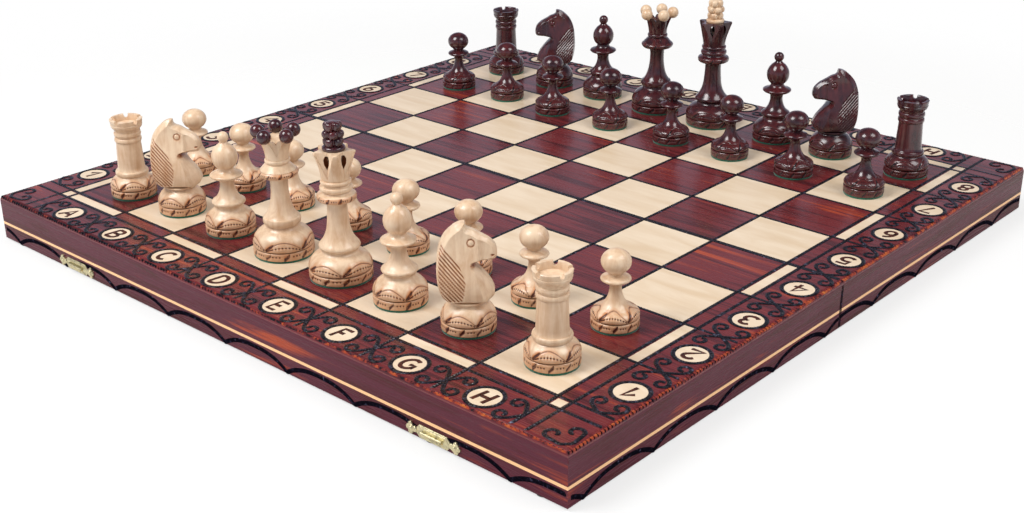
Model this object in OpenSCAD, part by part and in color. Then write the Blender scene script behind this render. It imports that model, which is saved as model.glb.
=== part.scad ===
// A folding chess box, opened flat with its playing surface up and its two hollow halves down.
// The near half holds ranks 1 to 4 and two catches, the far half ranks 5 to 8 and two latches.
// Millimetres, +Z up. X runs along the files, a to h, and Y along the ranks, 1 to 8. The origin
// is on the table under the middle of the board, and the hinge line runs through it along X.

/* [Playing field] */
// Side of one square, from line to line
square_side = 57; // [50:1:62]
// Width of the burnt line around a square
line_w = 2.5; // [1:0.25:2.5]
// Depth of the burnt lines
line_depth = 0.5; // [0.3:0.1:1]
// Thickness of the inlaid light wood
inlay_t = 2; // [1.5:0.25:3]

/* [Border] */
// Width of the border, from the playing field to the edge
border_w = 41; // [39:1:50]
// Distance from the playing field to the burnt line of the inner band
band_w = 10.5; // [9.5:0.5:12]
// Width of a light dash in the inner band
dash_w = 7; // [4:0.5:7]
// Distance from the playing field to a dash
dash_gap = 2; // [1.5:0.25:2.25]
// Diameter of a coordinate disc
disc_d = 21; // [14:1:22]
// Distance from the playing field to the centres of the coordinate discs
disc_offset = 26.75; // [25:0.25:26.75]

/* [Case] */
// Thickness of a half's panel
panel_t = 7; // [5:0.5:10]
// Height of the walls under the panel
wall_h = 26; // [24:1:40]
// Thickness of the walls
wall_t = 10; // [9.5:0.5:12]
// Radius of the rounded outer edge of the panel
edge_r = 3.5; // [1:0.5:4]
// Height of the light line that is inlaid in the walls
wall_line_h = 2; // [1:0.5:3]
// Depth of that light line
wall_line_t = 1.5; // [1:0.25:3]
// Distance from the rim to the lower edge of that light line
wall_line_z = 11; // [10:0.5:20]
// Height of the felt pads that the box stands on
pad_h = 1.5; // [1.25:0.25:2.5]
// Diameter of the felt pads
pad_d = 8; // [6:0.5:9]
// Distance from a near pad's centre to the side of the box
near_pad_inset = 20; // [12:1:26]
// Distance from a far pad's centre to the side of the box
far_pad_inset = 40; // [36:1:60]

/* [Trays] */
// Thickness of a tray's floor
tray_floor_t = 2; // [1:0.5:4]
// Thickness of a tray's ribs
tray_rib_t = 5; // [3:0.5:6]
// Depth of a tray's troughs
trough_depth = 16; // [8:1:20]
// Width of the trough for the pawns
pawn_trough_w = 52; // [50:1:54]
// Width of the trough for the rooks, knights and bishops
officer_trough_w = 75; // [74:1:77]
// Width of the trough for the king and queen
royal_trough_w = 107; // [104:1:109]
// Gap between a tray and the walls
tray_gap = 0.3; // [0.2:0.1:1]

/* [Hinges] */
// Length of a hinge
hinge_len = 60; // [40:5:90]
// Distance from the middle of the box to the middle of a hinge
hinge_x = 150; // [80:5:200]
// Width of a hinge leaf
leaf_w = 9; // [7:0.5:9]
// Thickness of a hinge leaf
leaf_t = 1; // [0.8:0.1:1.5]
// Distance by which the barrel stands clear of the table
barrel_clear = 0.1; // [0.05:0.05:0.2]
// Diameter of the hinge pin
hinge_pin_d = 1.4; // [1:0.1:1.6]
// Radial clearance of the moving knuckles on their pins
pin_play = 0.05; // [0.02:0.01:0.1]
// Gap between neighbouring knuckles
knuckle_gap = 0.3; // [0.2:0.05:0.5]
// Gap between a moving knuckle and the wood or plate around it
knuckle_clear = 0.3; // [0.2:0.05:0.5]

/* [Clasps] */
// Distance from the middle of the box to the middle of a clasp
clasp_x = 174; // [80:1:200]
// Length of a clasp's plate without its end lobes
plate_len = 30; // [28:1:40]
// Height of a clasp's plate
plate_h = 8.5; // [8:0.5:10]
// Thickness of a clasp's plates
plate_t = 0.8; // [0.6:0.1:1]
// Distance from the rim to a clasp's plate
plate_z = 0.3; // [0.3:0.1:1]
// Radius of a lobe at the end of a plate
lobe_r = 3; // [2.4:0.1:3.2]
// Distance from the rim to the axis of a latch
latch_axis_z = 3.2; // [3:0.1:4]
// Radius of a latch's knuckles
latch_barrel_r = 1.5; // [1.4:0.05:1.8]
// Diameter of a latch's pin
latch_pin_d = 1; // [0.8:0.1:1.2]
// Width of a latch
latch_w = 24; // [20:1:26]
// Thickness of a latch
latch_t = 1; // [0.8:0.1:1.2]
// Distance from a latch's axis to its free end
latch_len = 14; // [13.5:0.25:15]
// Gap between a folded latch and its plate
latch_gap = 0.2; // [0.15:0.05:0.4]
// Length of the ridge that a latch drops over
ridge_len = 16; // [12:1:18]
// Thickness of that ridge
ridge_t = 1.6; // [1.2:0.1:1.8]
// Distance from the rim to the middle of that ridge
ridge_z = 5; // [4.75:0.05:5.2]
// Gap between that ridge and the ends of the latch's window
ridge_gap = 0.5; // [0.4:0.1:1]

/* [Screws] */
// Head diameter of the small brass screws
screw_head_d = 3; // [2.4:0.1:3.2]
// Shank diameter of the screws
screw_d = 1.5; // [1.2:0.1:1.8]
// Length of the screws
screw_len = 7; // [5:0.5:8]
// Distance from a hinge's end to the nearest screw
screw_inset = 8; // [6:0.5:10]

/* [Chessmen] */
// Thickness of the felt under a chessman
felt_t = 1.2; // [0.8:0.1:2]
// Glue line between a chessman and its felt, balls or finial
glue_line = 0.02; // [0.01:0.01:0.05]
// Depth of the turned groove around a foot
foot_groove = 0.6; // [0.3:0.1:1]
// Height of that groove above the board
foot_groove_z = 6.8; // [6:0.1:7.5]
// Height above the board at which a foot begins to curve in
shoulder_z = 9.7; // [9:0.1:10.5]

/* [Pawn] */
// Diameter of a pawn's foot
pawn_foot_d = 29; // [26:0.5:30]
// Height of a pawn
pawn_h = 49; // [46:0.5:54]
// Diameter of a pawn's neck
pawn_neck_d = 7; // [6:0.5:8]
// Diameter of a pawn's collar
pawn_collar_d = 18; // [16:0.5:19]
// Height of a pawn's collar above the board
pawn_collar_z = 31; // [28:0.5:32]
// Diameter of a pawn's ball
pawn_ball_d = 18; // [16:0.5:18.5]
// Height of a pawn's ball, less than its diameter where it is flattened
pawn_ball_h = 15; // [14:0.5:18]

/* [Rook] */
// Diameter of a rook's foot
rook_foot_d = 32.5; // [30:0.5:34]
// Height of a rook
rook_h = 58; // [57:0.5:62]
// Diameter of the bead above a rook's foot
rook_bead_d = 23; // [21:0.5:24]
// Height of that bead above the board
rook_bead_z = 18; // [17.5:0.5:19]
// Diameter of a rook's tower at its foot
rook_tower_d = 19; // [18:0.5:20]
// Diameter of a rook's tower under its rings
rook_waist_d = 17.5; // [16:0.5:18]
// Height of a rook's rings above the board
rook_ring_z = 43; // [42:0.5:44]
// Diameter of a rook's battlement
rook_top_d = 23.5; // [22:0.5:25]
// Wall of the battlement
rook_wall = 3; // [2:0.5:4]
// Depth of the hollow in the battlement
rook_hollow = 4.5; // [3:0.5:6]
// Width of the notches in the battlement
rook_notch_w = 2.4; // [2:0.2:4]
// Number of notches in the battlement
rook_notches = 5; // [4:1:6]

/* [Bishop] */
// Diameter of a bishop's foot
bishop_foot_d = 34; // [32:0.5:36]
// Height of a bishop
bishop_h = 71; // [70:0.5:74]
// Diameter of the bead above a bishop's foot
bishop_bead_d = 22.5; // [20:0.5:24]
// Height of that bead above the board
bishop_bead_z = 22; // [21:0.5:23]
// Diameter of a bishop's neck
bishop_neck_d = 10; // [9:0.5:11]
// Diameter of a bishop's collar
bishop_collar_d = 22; // [20:0.5:23]
// Height of a bishop's collar above the board
bishop_collar_z = 41; // [40:0.5:42]
// Diameter of a bishop's head
bishop_head_d = 17.5; // [16:0.5:19]
// Diameter of the ball on a bishop's head
bishop_ball_d = 7.6; // [7:0.2:9]

/* [Knight] */
// Diameter of a knight's foot
knight_foot_d = 33; // [31:0.5:34]
// Height of a knight
knight_h = 67.5; // [66:0.5:70]
// Diameter of the bead above a knight's foot
knight_bead_d = 24; // [22:0.5:25]
// Height of that bead above the board
knight_bead_z = 20; // [19.5:0.5:20.5]
// Length of the horse, from mane to nose
horse_len = 35; // [32:0.5:36]
// Thickness of the horse's head
horse_head_t = 14; // [11:0.5:16]
// Width of the horse's chest
horse_chest_w = 27; // [24:0.5:30]
// Angle by which the knights are turned from the files
knight_turn = 42; // [0:1:90]

/* [Queen] */
// Diameter of a queen's foot
queen_foot_d = 40; // [37:0.5:42]
// Height of a queen's crown points above the board
queen_crown_z = 80; // [78:0.5:82]
// Diameter of the bead above a queen's foot
queen_bead_d = 24.5; // [22:0.5:26]
// Height of that bead above the board
queen_bead_z = 24; // [23:0.5:25]
// Diameter of a queen's neck
queen_neck_d = 11.6; // [10:0.2:13]
// Diameter of a queen's collar
queen_collar_d = 26; // [24:0.5:28]
// Height of a queen's collar above the board
queen_collar_z = 57; // [56:0.5:58]
// Diameter of a queen's crown at its foot
queen_waist_d = 15.6; // [14:0.2:17]
// Diameter of the circle of a queen's balls
queen_ball_ring_d = 24; // [21:0.5:25]
// Diameter of the balls on a queen's crown
queen_ball_d = 9.4; // [7:0.2:10]
// Number of points on a queen's crown
queen_points = 5; // [5:1:6]

/* [King] */
// Diameter of a king's foot
king_foot_d = 40.5; // [38:0.5:42]
// Height of a king
king_h = 103; // [101:0.5:106]
// Diameter of the bead above a king's foot
king_bead_d = 26; // [24:0.5:28]
// Height of that bead above the board
king_bead_z = 22; // [21:0.5:23]
// Diameter of a king's neck
king_neck_d = 12.4; // [11:0.2:14]
// Diameter of a king's collar
king_collar_d = 25; // [23:0.5:27]
// Height of a king's collar above the board
king_collar_z = 55; // [54:0.5:56]
// Diameter of a king's crown at its foot
king_waist_d = 17.5; // [16:0.5:19]
// Diameter of a king's crown at its rim
king_crown_d = 27; // [25:0.5:29]
// Height of a king's crown rim above the board
king_crown_z = 85; // [84:0.5:86]
// Diameter of a king's finial
king_finial_d = 14; // [12:0.5:15]
// Number of points on a king's crown
king_points = 5; // [5:1:6]

/* [Hidden] */
$fn = 48;
half_squares = 4;
squares = 2 * half_squares;
field = squares * square_side;
half_w = field / 2 + border_w;
rim_z = pad_h;
panel_z = rim_z + wall_h;
top_z = panel_z + panel_t;
inlay_side = square_side - line_w;
bay_w = half_w - wall_t;
cut = 0.01;

trough_widths = [pawn_trough_w, officer_trough_w, royal_trough_w];
trough_starts = [tray_rib_t, 2 * tray_rib_t + pawn_trough_w,
                 3 * tray_rib_t + pawn_trough_w + officer_trough_w];
tray_w = 4 * tray_rib_t + pawn_trough_w + officer_trough_w + royal_trough_w;
tray_len = bay_w - wall_t - 2 * tray_gap;
tray_h = tray_floor_t + trough_depth;

barrel_r = pad_h - barrel_clear;
leaf_screw_y = leaf_w * 0.56;
knuckles = 5;
knuckle_len = (hinge_len - (knuckles - 1) * knuckle_gap) / knuckles;
knuckle_pitch = knuckle_len + knuckle_gap;

latch_axis_out = plate_t + latch_gap + latch_t / 2;
fold_limit = 179.6;
closed_gap = half_w * sin(180 - fold_limit);
ridge_reach = latch_axis_z + ridge_z + closed_gap;
clasp_stand = latch_axis_out + latch_barrel_r;
window_play = 0.3;
petal_r = lobe_r * 0.6;
lobe_x = plate_len / 2 + petal_r;
latch_knuckle_w = latch_w - 2 * latch_barrel_r;

FILES = ["a", "b", "c", "d", "e", "f", "g", "h"];
RANK_1 = ["rook", "knight", "bishop", "queen", "king", "bishop", "knight", "rook"];
// Where each man stands off the middle of its square, as set down by hand
LIGHT_BACK_STAND = [[3, -3], [-1, 1], [-2, 0], [-3, 0], [-3, -1], [-5, -2], [-6, -1], [2, -2]];
LIGHT_PAWN_STAND = [[0, 0], [-3, 2], [-5, 2], [-4, 3], [-2, 0], [-3, 0], [-2, -4], [0, 0]];
DARK_PAWN_STAND = [[0, 0], [-2, 3], [-3, -2], [0, 0], [3, 2], [1, 3], [2, 1], [4, 0]];
DARK_BACK_STAND = [[1, 5], [3, 4], [0, 5], [1, 4], [1, 3], [5, 3], [0, 1], [8, -1]];

// Side view of the horse: forward distance from the axis and height, for a horse 35 long from
// mane to nose and standing 47.5 above its bead
HORSE_SIDE = [
    [-10.5, 0], [-13.5, 2], [-16, 6], [-17.2, 11], [-17.6, 20], [-17.2, 28], [-16, 35],
    [-13.6, 40.5], [-10, 44.8], [-6, 47], [0.5, 47.5], [1, 43.8], [3.6, 41.2], [6, 40.2],
    [7.5, 38.8], [9.2, 36.6], [13, 34.8], [15.8, 32.2], [17.2, 29.5], [17.4, 26], [16, 23.6],
    [13, 22], [10, 21.2], [6.8, 21.4], [5, 20.8], [7.5, 18.3], [11.5, 14], [14.5, 10],
    [16.4, 6.2], [15.8, 3.5], [13, 1], [10.5, 0]];
HORSE_SIDE_LEN = 35;
HORSE_SIDE_H = 47.5;

// Colours of the woods, felt and brass
MAHOGANY = [0.30, 0.10, 0.08];
MAPLE = [0.93, 0.85, 0.70];
BOXWOOD = [0.88, 0.74, 0.55];
ROSEWOOD = [0.24, 0.10, 0.09];
BRASS = [0.80, 0.68, 0.40];
FELT = [0.05, 0.36, 0.28];

// Places a shape that is drawn for the near half on the far half
module on_far_half() {
    mirror([0, 1, 0]) children();
}

function square_x(i) = (i - half_squares + 0.5) * square_side;
// Middle of the j-th row of squares from the near edge of the playing field
function row_y(j) = (j - half_squares + 0.5) * square_side;
// True where file i and row j of a half meet in a light square
function is_light(i, j, far) = (i + j + (far ? 1 : 0)) % 2 == 1;

// ---- Panels and their inlays, drawn for the near half ----

// A bar that leaves a quarter round along the X axis when it is cut from an edge
module edge_cutter(length) {
    translate([-length / 2, -cut, -edge_r])
        difference() {
            cube([length, edge_r + cut, edge_r + cut]);
            translate([-cut, edge_r + cut, 0]) rotate([0, 90, 0])
                cylinder(r = edge_r, h = length + 2 * cut);
        }
}

module light_squares(far) {
    for (i = [0 : squares - 1], j = [0 : half_squares - 1])
        if (is_light(i, j, far))
            translate([square_x(i) - inlay_side / 2, row_y(j) - inlay_side / 2, top_z - inlay_t])
                cube([inlay_side, inlay_side, inlay_t]);
}

// One light dash, centred on the origin and lying along X
module dash() {
    translate([-inlay_side / 2, -dash_w / 2, top_z - inlay_t]) cube([inlay_side, dash_w, inlay_t]);
}

module corner_chip() {
    translate([-dash_w / 2, -dash_w / 2, top_z - inlay_t]) cube([dash_w, dash_w, inlay_t]);
}

// Light dashes beside the dark squares of the field's edge, and a chip at each corner
module dashes(far) {
    off = field / 2 + dash_gap + dash_w / 2;
    for (i = [0 : squares - 1])
        if (!is_light(i, 0, far)) translate([square_x(i), -off, 0]) dash();
    for (j = [0 : half_squares - 1], side = [-1, 1])
        if (!is_light(side < 0 ? 0 : squares - 1, j, far))
            translate([side * off, row_y(j), 0]) rotate([0, 0, 90]) dash();
    for (side = [-1, 1]) translate([side * off, -off, 0]) corner_chip();
}

// Round discs that carry the letters and the numbers
module coordinate_discs() {
    off = field / 2 + disc_offset;
    for (i = [0 : squares - 1])
        translate([square_x(i), -off, top_z - inlay_t]) cylinder(d = disc_d, h = inlay_t);
    for (j = [0 : half_squares - 1], side = [-1, 1])
        translate([side * off, row_y(j), top_z - inlay_t]) cylinder(d = disc_d, h = inlay_t);
}

// Burnt lines between the squares and along the inner band
module burnt_lines() {
    z = top_z - line_depth;
    h = line_depth + cut;
    reach = field / 2 + band_w;
    for (i = [0 : squares])
        translate([i * square_side - field / 2 - line_w / 2, -half_w + edge_r, z])
            cube([line_w, half_w - edge_r + cut, h]);
    for (j = [0 : half_squares])
        translate([-half_w + edge_r, -j * square_side - line_w / 2, z])
            cube([2 * (half_w - edge_r), line_w, h]);
    translate([-half_w + edge_r, -reach - line_w / 2, z]) cube([2 * (half_w - edge_r), line_w, h]);
    for (side = [-1, 1])
        translate([side * reach - line_w / 2, -half_w + edge_r, z])
            cube([line_w, half_w - edge_r + cut, h]);
}

module panel_shape(far) {
    difference() {
        translate([-half_w, -half_w, panel_z]) cube([2 * half_w, half_w, panel_t]);
        translate([0, -half_w, top_z]) edge_cutter(2 * half_w + 2);
        for (side = [-1, 1]) translate([side * half_w, 0, top_z])
            rotate([0, 0, side * 90]) edge_cutter(2 * half_w + 2);
        light_squares(far);
        dashes(far);
        coordinate_discs();
        burnt_lines();
    }
}

// ---- Walls, drawn for the near half ----

// Groove or strip that runs along the outer wall and both side walls, mitred at the corners
module wall_line(depth) {
    translate([0, 0, rim_z + wall_line_z]) linear_extrude(wall_line_h) difference() {
        translate([-half_w, -half_w]) square([2 * half_w, half_w]);
        translate([-half_w + depth, -half_w + depth]) square([2 * (half_w - depth), half_w]);
    }
}

module outer_wall_shape() {
    difference() {
        translate([0, 0, rim_z]) linear_extrude(wall_h)
            polygon([[-half_w, -half_w], [half_w, -half_w],
                     [bay_w, -bay_w], [-bay_w, -bay_w]]);
        wall_line(wall_line_t);
        for (side = [-1, 1]) translate([side * clasp_x, -half_w, 0]) plate_screws();
    }
}

// Left wall for side = -1, right wall for side = 1
module side_wall_shape(side) {
    difference() {
        translate([0, 0, rim_z]) linear_extrude(wall_h)
            polygon([[side * half_w, -half_w], [side * half_w, 0],
                     [side * bay_w, 0], [side * bay_w, -bay_w]]);
        wall_line(wall_line_t);
    }
}

// Wall along the fold, let in for the hinges
module spine_wall_shape() {
    difference() {
        translate([-bay_w, -wall_t, rim_z]) cube([2 * bay_w, wall_t, wall_h]);
        for (side = [-1, 1]) translate([side * hinge_x, 0, rim_z]) {
            translate([-hinge_len / 2, -leaf_w, -cut]) cube([hinge_len, leaf_w + cut, leaf_t + cut]);
            rotate([0, 90, 0]) translate([0, 0, -hinge_len / 2 - knuckle_gap])
                cylinder(r = barrel_r + knuckle_clear, h = hinge_len + 2 * knuckle_gap);
            leaf_screws();
        }
    }
}

// ---- Trays that hold the chessmen, drawn for the near half ----

// A tray glued under the panel, at the left side wall, with its troughs open downwards
module tray_shape() {
    translate([-bay_w + tray_gap, -bay_w + tray_gap, panel_z - tray_h]) difference() {
        cube([tray_w, tray_len, tray_h]);
        for (k = [0 : len(trough_widths) - 1])
            translate([trough_starts[k], tray_rib_t, -cut])
                cube([trough_widths[k], tray_len - 2 * tray_rib_t, trough_depth + cut]);
    }
}

// ---- Felt pads, drawn for the near half ----

module felt_pads(inset) {
    for (side = [-1, 1])
        translate([side * (half_w - inset), -half_w + wall_t / 2, 0]) cylinder(d = pad_d, h = pad_h);
}

// ---- Hinges. A hinge's origin is the middle of its pin; +X lies along the pin ----

// One knuckle of the barrel, the k-th of them
module knuckle(k) {
    translate([-hinge_len / 2 + k * knuckle_pitch, 0, 0]) rotate([0, 90, 0])
        cylinder(r = barrel_r, h = knuckle_len);
}

// The leaf towards -Y, with every second knuckle, beginning at the first one or at the next
module hinge_leaf(first, play) {
    difference() {
        union() {
            translate([-hinge_len / 2, -leaf_w, 0])
                cube([hinge_len, leaf_w - barrel_r - knuckle_clear, leaf_t]);
            for (k = [first : 2 : knuckles - 1]) {
                translate([-hinge_len / 2 + k * knuckle_pitch, -leaf_w, 0])
                    cube([knuckle_len, leaf_w, leaf_t]);
                knuckle(k);
            }
        }
        translate([-hinge_len / 2 - 1, 0, 0]) rotate([0, 90, 0])
            cylinder(d = hinge_pin_d + 2 * play, h = hinge_len + 2);
        leaf_screws();
    }
}

module hinge_pin() {
    translate([-hinge_len / 2, 0, 0]) rotate([0, 90, 0]) cylinder(d = hinge_pin_d, h = hinge_len);
}

// ---- Small brass screws ----

// A countersunk screw whose head lies in the plane z = 0, with its point up
module screw_shape() {
    head_h = (screw_head_d - screw_d) / 2;
    cylinder(d1 = screw_head_d, d2 = screw_d, h = head_h);
    translate([0, 0, head_h - cut]) cylinder(d = screw_d, h = screw_len - head_h + cut);
}

module screw_slot() {
    slot_w = screw_head_d / 7;
    slot_depth = screw_head_d / 8;
    translate([-screw_head_d / 2, -slot_w / 2, -cut])
        cube([screw_head_d, slot_w, slot_depth + cut]);
}

// Screws of a hinge leaf that lies towards -Y
module leaf_screws() {
    for (side = [-1, 1])
        translate([side * (hinge_len / 2 - screw_inset), -leaf_screw_y, 0]) screw_shape();
}

// Screws of a clasp's plate on a wall that faces -Y at y = 0
module plate_screws() {
    for (side = [-1, 1])
        translate([side * lobe_x, -plate_t, rim_z + plate_z + plate_h / 2])
            rotate([-90, 0, 0]) screw_shape();
}

module plate_screw_slots() {
    for (side = [-1, 1])
        translate([side * lobe_x, -plate_t, rim_z + plate_z + plate_h / 2])
            rotate([-90, 0, 0]) screw_slot();
}

module leaf_screw_slots() {
    for (side = [-1, 1])
        translate([side * (hinge_len / 2 - screw_inset), -leaf_screw_y, 0]) screw_slot();
}

module half_screws() {
    difference() {
        union() {
            for (side = [-1, 1]) {
                translate([side * hinge_x, 0, rim_z]) leaf_screws();
                translate([side * clasp_x, -half_w, 0]) plate_screws();
            }
        }
        for (side = [-1, 1]) {
            translate([side * hinge_x, 0, rim_z]) leaf_screw_slots();
            translate([side * clasp_x, -half_w, 0]) plate_screw_slots();
        }
    }
}

// ---- Clasps. A clasp's origin is on the table, under the face of a wall that faces -Y ----

// Outline of a clasp's plate with a three-lobed end at each side
module plate_outline() {
    half_h = plate_h / 2;
    tip_x = plate_len / 2;
    corner_x = tip_x - half_h * 0.8;
    petal_out = lobe_r * 0.75;
    petal_angle = 75;
    polygon([[-tip_x, 0], [-corner_x, -half_h], [corner_x, -half_h],
             [tip_x, 0], [corner_x, half_h], [-corner_x, half_h]]);
    for (side = [-1, 1]) translate([side * lobe_x, 0]) {
        circle(r = lobe_r);
        for (turn = [-1, 0, 1])
            rotate(turn * petal_angle + (side < 0 ? 180 : 0)) translate([petal_out, 0])
                circle(r = petal_r);
    }
}

module plate_shape() {
    translate([0, 0, rim_z + plate_z + plate_h / 2]) rotate([90, 0, 0])
        linear_extrude(plate_t) plate_outline();
}

// Plate with the ridge that a latch drops over
module catch_plate() {
    difference() {
        union() {
            plate_shape();
            translate([-ridge_len / 2, -clasp_stand, rim_z + ridge_z - ridge_t / 2])
                cube([ridge_len, clasp_stand, ridge_t]);
        }
        plate_screws();
    }
}

// Plate with the two ears that hold the pin of a latch
module latch_plate() {
    ear_w = latch_barrel_r;
    difference() {
        union() {
            difference() {
                plate_shape();
                translate([-latch_knuckle_w / 2 - knuckle_clear, -plate_t - cut, rim_z])
                    cube([latch_knuckle_w + 2 * knuckle_clear, plate_t + 2 * cut,
                          latch_axis_z + latch_barrel_r + knuckle_clear]);
            }
            for (side = [-1, 1])
                translate([side * (latch_w - ear_w) / 2 - ear_w / 2, 0, rim_z + latch_axis_z]) {
                    translate([0, -latch_axis_out, 0]) rotate([0, 90, 0])
                        cylinder(r = latch_barrel_r, h = ear_w);
                    translate([0, -latch_axis_out, -latch_barrel_r])
                        cube([ear_w, latch_axis_out, 2 * latch_barrel_r]);
                }
        }
        plate_screws();
        latch_pin();
    }
}

module latch_pin() {
    translate([-latch_w / 2, -latch_axis_out, rim_z + latch_axis_z]) rotate([0, 90, 0])
        cylinder(d = latch_pin_d, h = latch_w);
}

// Latch folded up against its plate, with a window that drops over the ridge of the catch
module latch_shape() {
    window_start = ridge_reach - ridge_t / 2 - ridge_gap;
    window_len = ridge_t + 2 * ridge_gap + window_play;
    flap_w = latch_knuckle_w - 2 * knuckle_clear;
    translate([0, -latch_axis_out, rim_z + latch_axis_z]) difference() {
        union() {
            translate([-flap_w / 2, 0, 0]) rotate([0, 90, 0])
                cylinder(r = latch_barrel_r - latch_gap, h = flap_w);
            translate([-flap_w / 2, -latch_t / 2, 0]) cube([flap_w, latch_t, latch_len - latch_t]);
            translate([-flap_w / 4, -latch_t / 2, 0]) cube([flap_w / 2, latch_t, latch_len]);
        }
        translate([-latch_w, 0, 0]) rotate([0, 90, 0])
            cylinder(d = latch_pin_d + 2 * pin_play, h = 2 * latch_w);
        translate([-ridge_len / 2 - ridge_gap, -latch_t, window_start])
            cube([ridge_len + 2 * ridge_gap, 2 * latch_t, window_len]);
    }
}

// ---- Chessmen. A man's origin is the middle of its foot, on the board ----

// Points along a curve from p to q that is pulled towards c, without p itself
function bend(p, c, q, n = 5) =
    [for (k = [1 : n]) let (t = k / n) pow(1 - t, 2) * p + 2 * t * (1 - t) * c + t * t * q];

// Points of a round bead of radius r whose middle is at height z, on a stem of radius stem
function bead(r, z, half_h, stem) =
    concat([[stem, z - half_h]], bend([stem, z - half_h], [r, z - half_h], [r, z], 3),
           bend([r, z], [r, z + half_h], [stem, z + half_h], 3));

// Points up the side of a turned foot, from its felt to the radius end_r at height end_z
function foot(foot_r, end_r, end_z) =
    let (pull = [foot_r * 0.94, shoulder_z * 0.35 + end_z * 0.65])
    concat([[0, felt_t], [foot_r - foot_groove, felt_t], [foot_r, felt_t + foot_groove],
            [foot_r, foot_groove_z - foot_groove], [foot_r - foot_groove, foot_groove_z],
            [foot_r, foot_groove_z + foot_groove], [foot_r, shoulder_z]],
           bend([foot_r, shoulder_z], pull, [end_r, end_z]));

// Points of a ball of radius r and half height half_h, its middle at height z, from the radius start_r up
function ball(r, half_h, z, start_r, n = 12) =
    let (a = asin(start_r / r) - 90)
    concat([for (k = [0 : n - 1]) let (t = a + (90 - a) * k / n) [r * cos(t), z + half_h * sin(t)]],
           [[0, z + half_h]]);

module turned(points) {
    rotate_extrude() polygon(points);
}

module felt_disc(foot_d) {
    cylinder(d = foot_d - 2 * foot_groove, h = felt_t - glue_line);
}

module pawn() {
    ball_z = pawn_h - pawn_ball_h / 2;
    neck_r = pawn_neck_d / 2;
    collar_half = 1.6;
    cone_r = pawn_foot_d / 3;
    cone_z = shoulder_z + pawn_foot_d / 10;
    neck_z = pawn_collar_z - 2 * collar_half;
    felt_disc(pawn_foot_d);
    turned(concat(
        foot(pawn_foot_d / 2, cone_r, cone_z),
        bend([cone_r, cone_z], [neck_r * 1.3, cone_z * 0.8 + neck_z * 0.2], [neck_r, neck_z]),
        bead(pawn_collar_d / 2, pawn_collar_z, collar_half, neck_r * 1.15),
        ball(pawn_ball_d / 2, pawn_ball_h / 2, ball_z, neck_r)));
}

module rook() {
    top_r = rook_top_d / 2;
    waist_r = rook_waist_d / 2;
    tower_r = rook_tower_d / 2;
    bead_half = 2;
    ring_half = 1.7;
    ring_r = waist_r + 0.8;
    upper_ring_z = rook_ring_z + 2.4 * ring_half;
    cup_z = upper_ring_z + 1.8 * ring_half;
    rim_drop = 2;
    felt_disc(rook_foot_d);
    difference() {
        turned(concat(
            foot(rook_foot_d / 2, rook_bead_d / 2 - 1, rook_bead_z - bead_half),
            bead(rook_bead_d / 2, rook_bead_z, bead_half, tower_r + 0.8),
            [[tower_r, rook_bead_z + 2.2 * bead_half], [waist_r, rook_ring_z - bead_half]],
            bead(ring_r, rook_ring_z, ring_half, waist_r),
            bead(ring_r, upper_ring_z, ring_half, waist_r),
            [[ring_r, cup_z]],
            bend([ring_r, cup_z], [top_r, cup_z + rim_drop], [top_r, rook_h - rim_drop], 4),
            [[top_r - 0.4, rook_h], [0, rook_h]]));
        translate([0, 0, rook_h - rook_hollow])
            cylinder(r = top_r - rook_wall, h = rook_hollow + 1);
        for (k = [0 : rook_notches - 1])
            rotate(k * 360 / rook_notches) translate([0, -rook_notch_w / 2, rook_h - rook_hollow / 2])
                cube([top_r + 1, rook_notch_w, rook_hollow]);
    }
}

module bishop() {
    head_r = bishop_head_d / 2;
    neck_r = bishop_neck_d / 2;
    ball_z = bishop_h - bishop_ball_d / 2;
    stem_r = bishop_bead_d / 2 - 1.5;
    bead_half = 2;
    collar_r = bishop_collar_d / 2;
    collar_half = 1;
    lip_r = collar_r - 0.8;
    head_foot = [neck_r, bishop_collar_z + 5];
    head_z = bishop_collar_z + 13;
    head_rise = 5.5;
    crown = [bishop_ball_d / 3, ball_z - bishop_ball_d * 0.43];
    felt_disc(bishop_foot_d);
    turned(concat(
        foot(bishop_foot_d / 2, stem_r, bishop_bead_z - 1.2 * bead_half),
        bead(bishop_bead_d / 2, bishop_bead_z, bead_half, stem_r),
        bend([stem_r, bishop_bead_z + bead_half], [neck_r, bishop_bead_z + 3 * bead_half],
             [neck_r, bishop_collar_z - 4 * collar_half]),
        [[neck_r + 1.5, bishop_collar_z - 2.6 * collar_half], [lip_r, bishop_collar_z - collar_half],
         [collar_r, bishop_collar_z], [lip_r, bishop_collar_z + collar_half]],
        bend([lip_r, bishop_collar_z + collar_half], [neck_r, bishop_collar_z + 2.5 * collar_half],
             head_foot),
        bend(head_foot, [head_r, head_z - head_rise], [head_r, head_z]),
        bend([head_r, head_z], [head_r, head_z + head_rise], crown),
        ball(bishop_ball_d / 2, bishop_ball_d / 2, ball_z, crown[0])));
}

module horse() {
    rise = knight_h - knight_bead_z;
    grow = [horse_len / HORSE_SIDE_LEN, rise / HORSE_SIDE_H];
    chest = horse_chest_w / 2;
    head = horse_head_t / 2;
    translate([0, 0, knight_bead_z]) intersection() {
        rotate([90, 0, 0]) linear_extrude(horse_len, center = true)
            polygon([for (p = HORSE_SIDE) [p[0] * grow[0], p[1] * grow[1]]]);
        rotate([90, 0, 90]) linear_extrude(2 * horse_len, center = true)
            polygon([[-chest + 2, 0], [-chest, rise * 0.1], [-chest + 1.5, rise * 0.25],
                     [-head, rise * 0.55], [-head + 1, rise], [head - 1, rise],
                     [head, rise * 0.55], [chest - 1.5, rise * 0.25], [chest, rise * 0.1],
                     [chest - 2, 0]]);
        cylinder(r = horse_len * 0.53, h = rise);
    }
}

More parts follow.
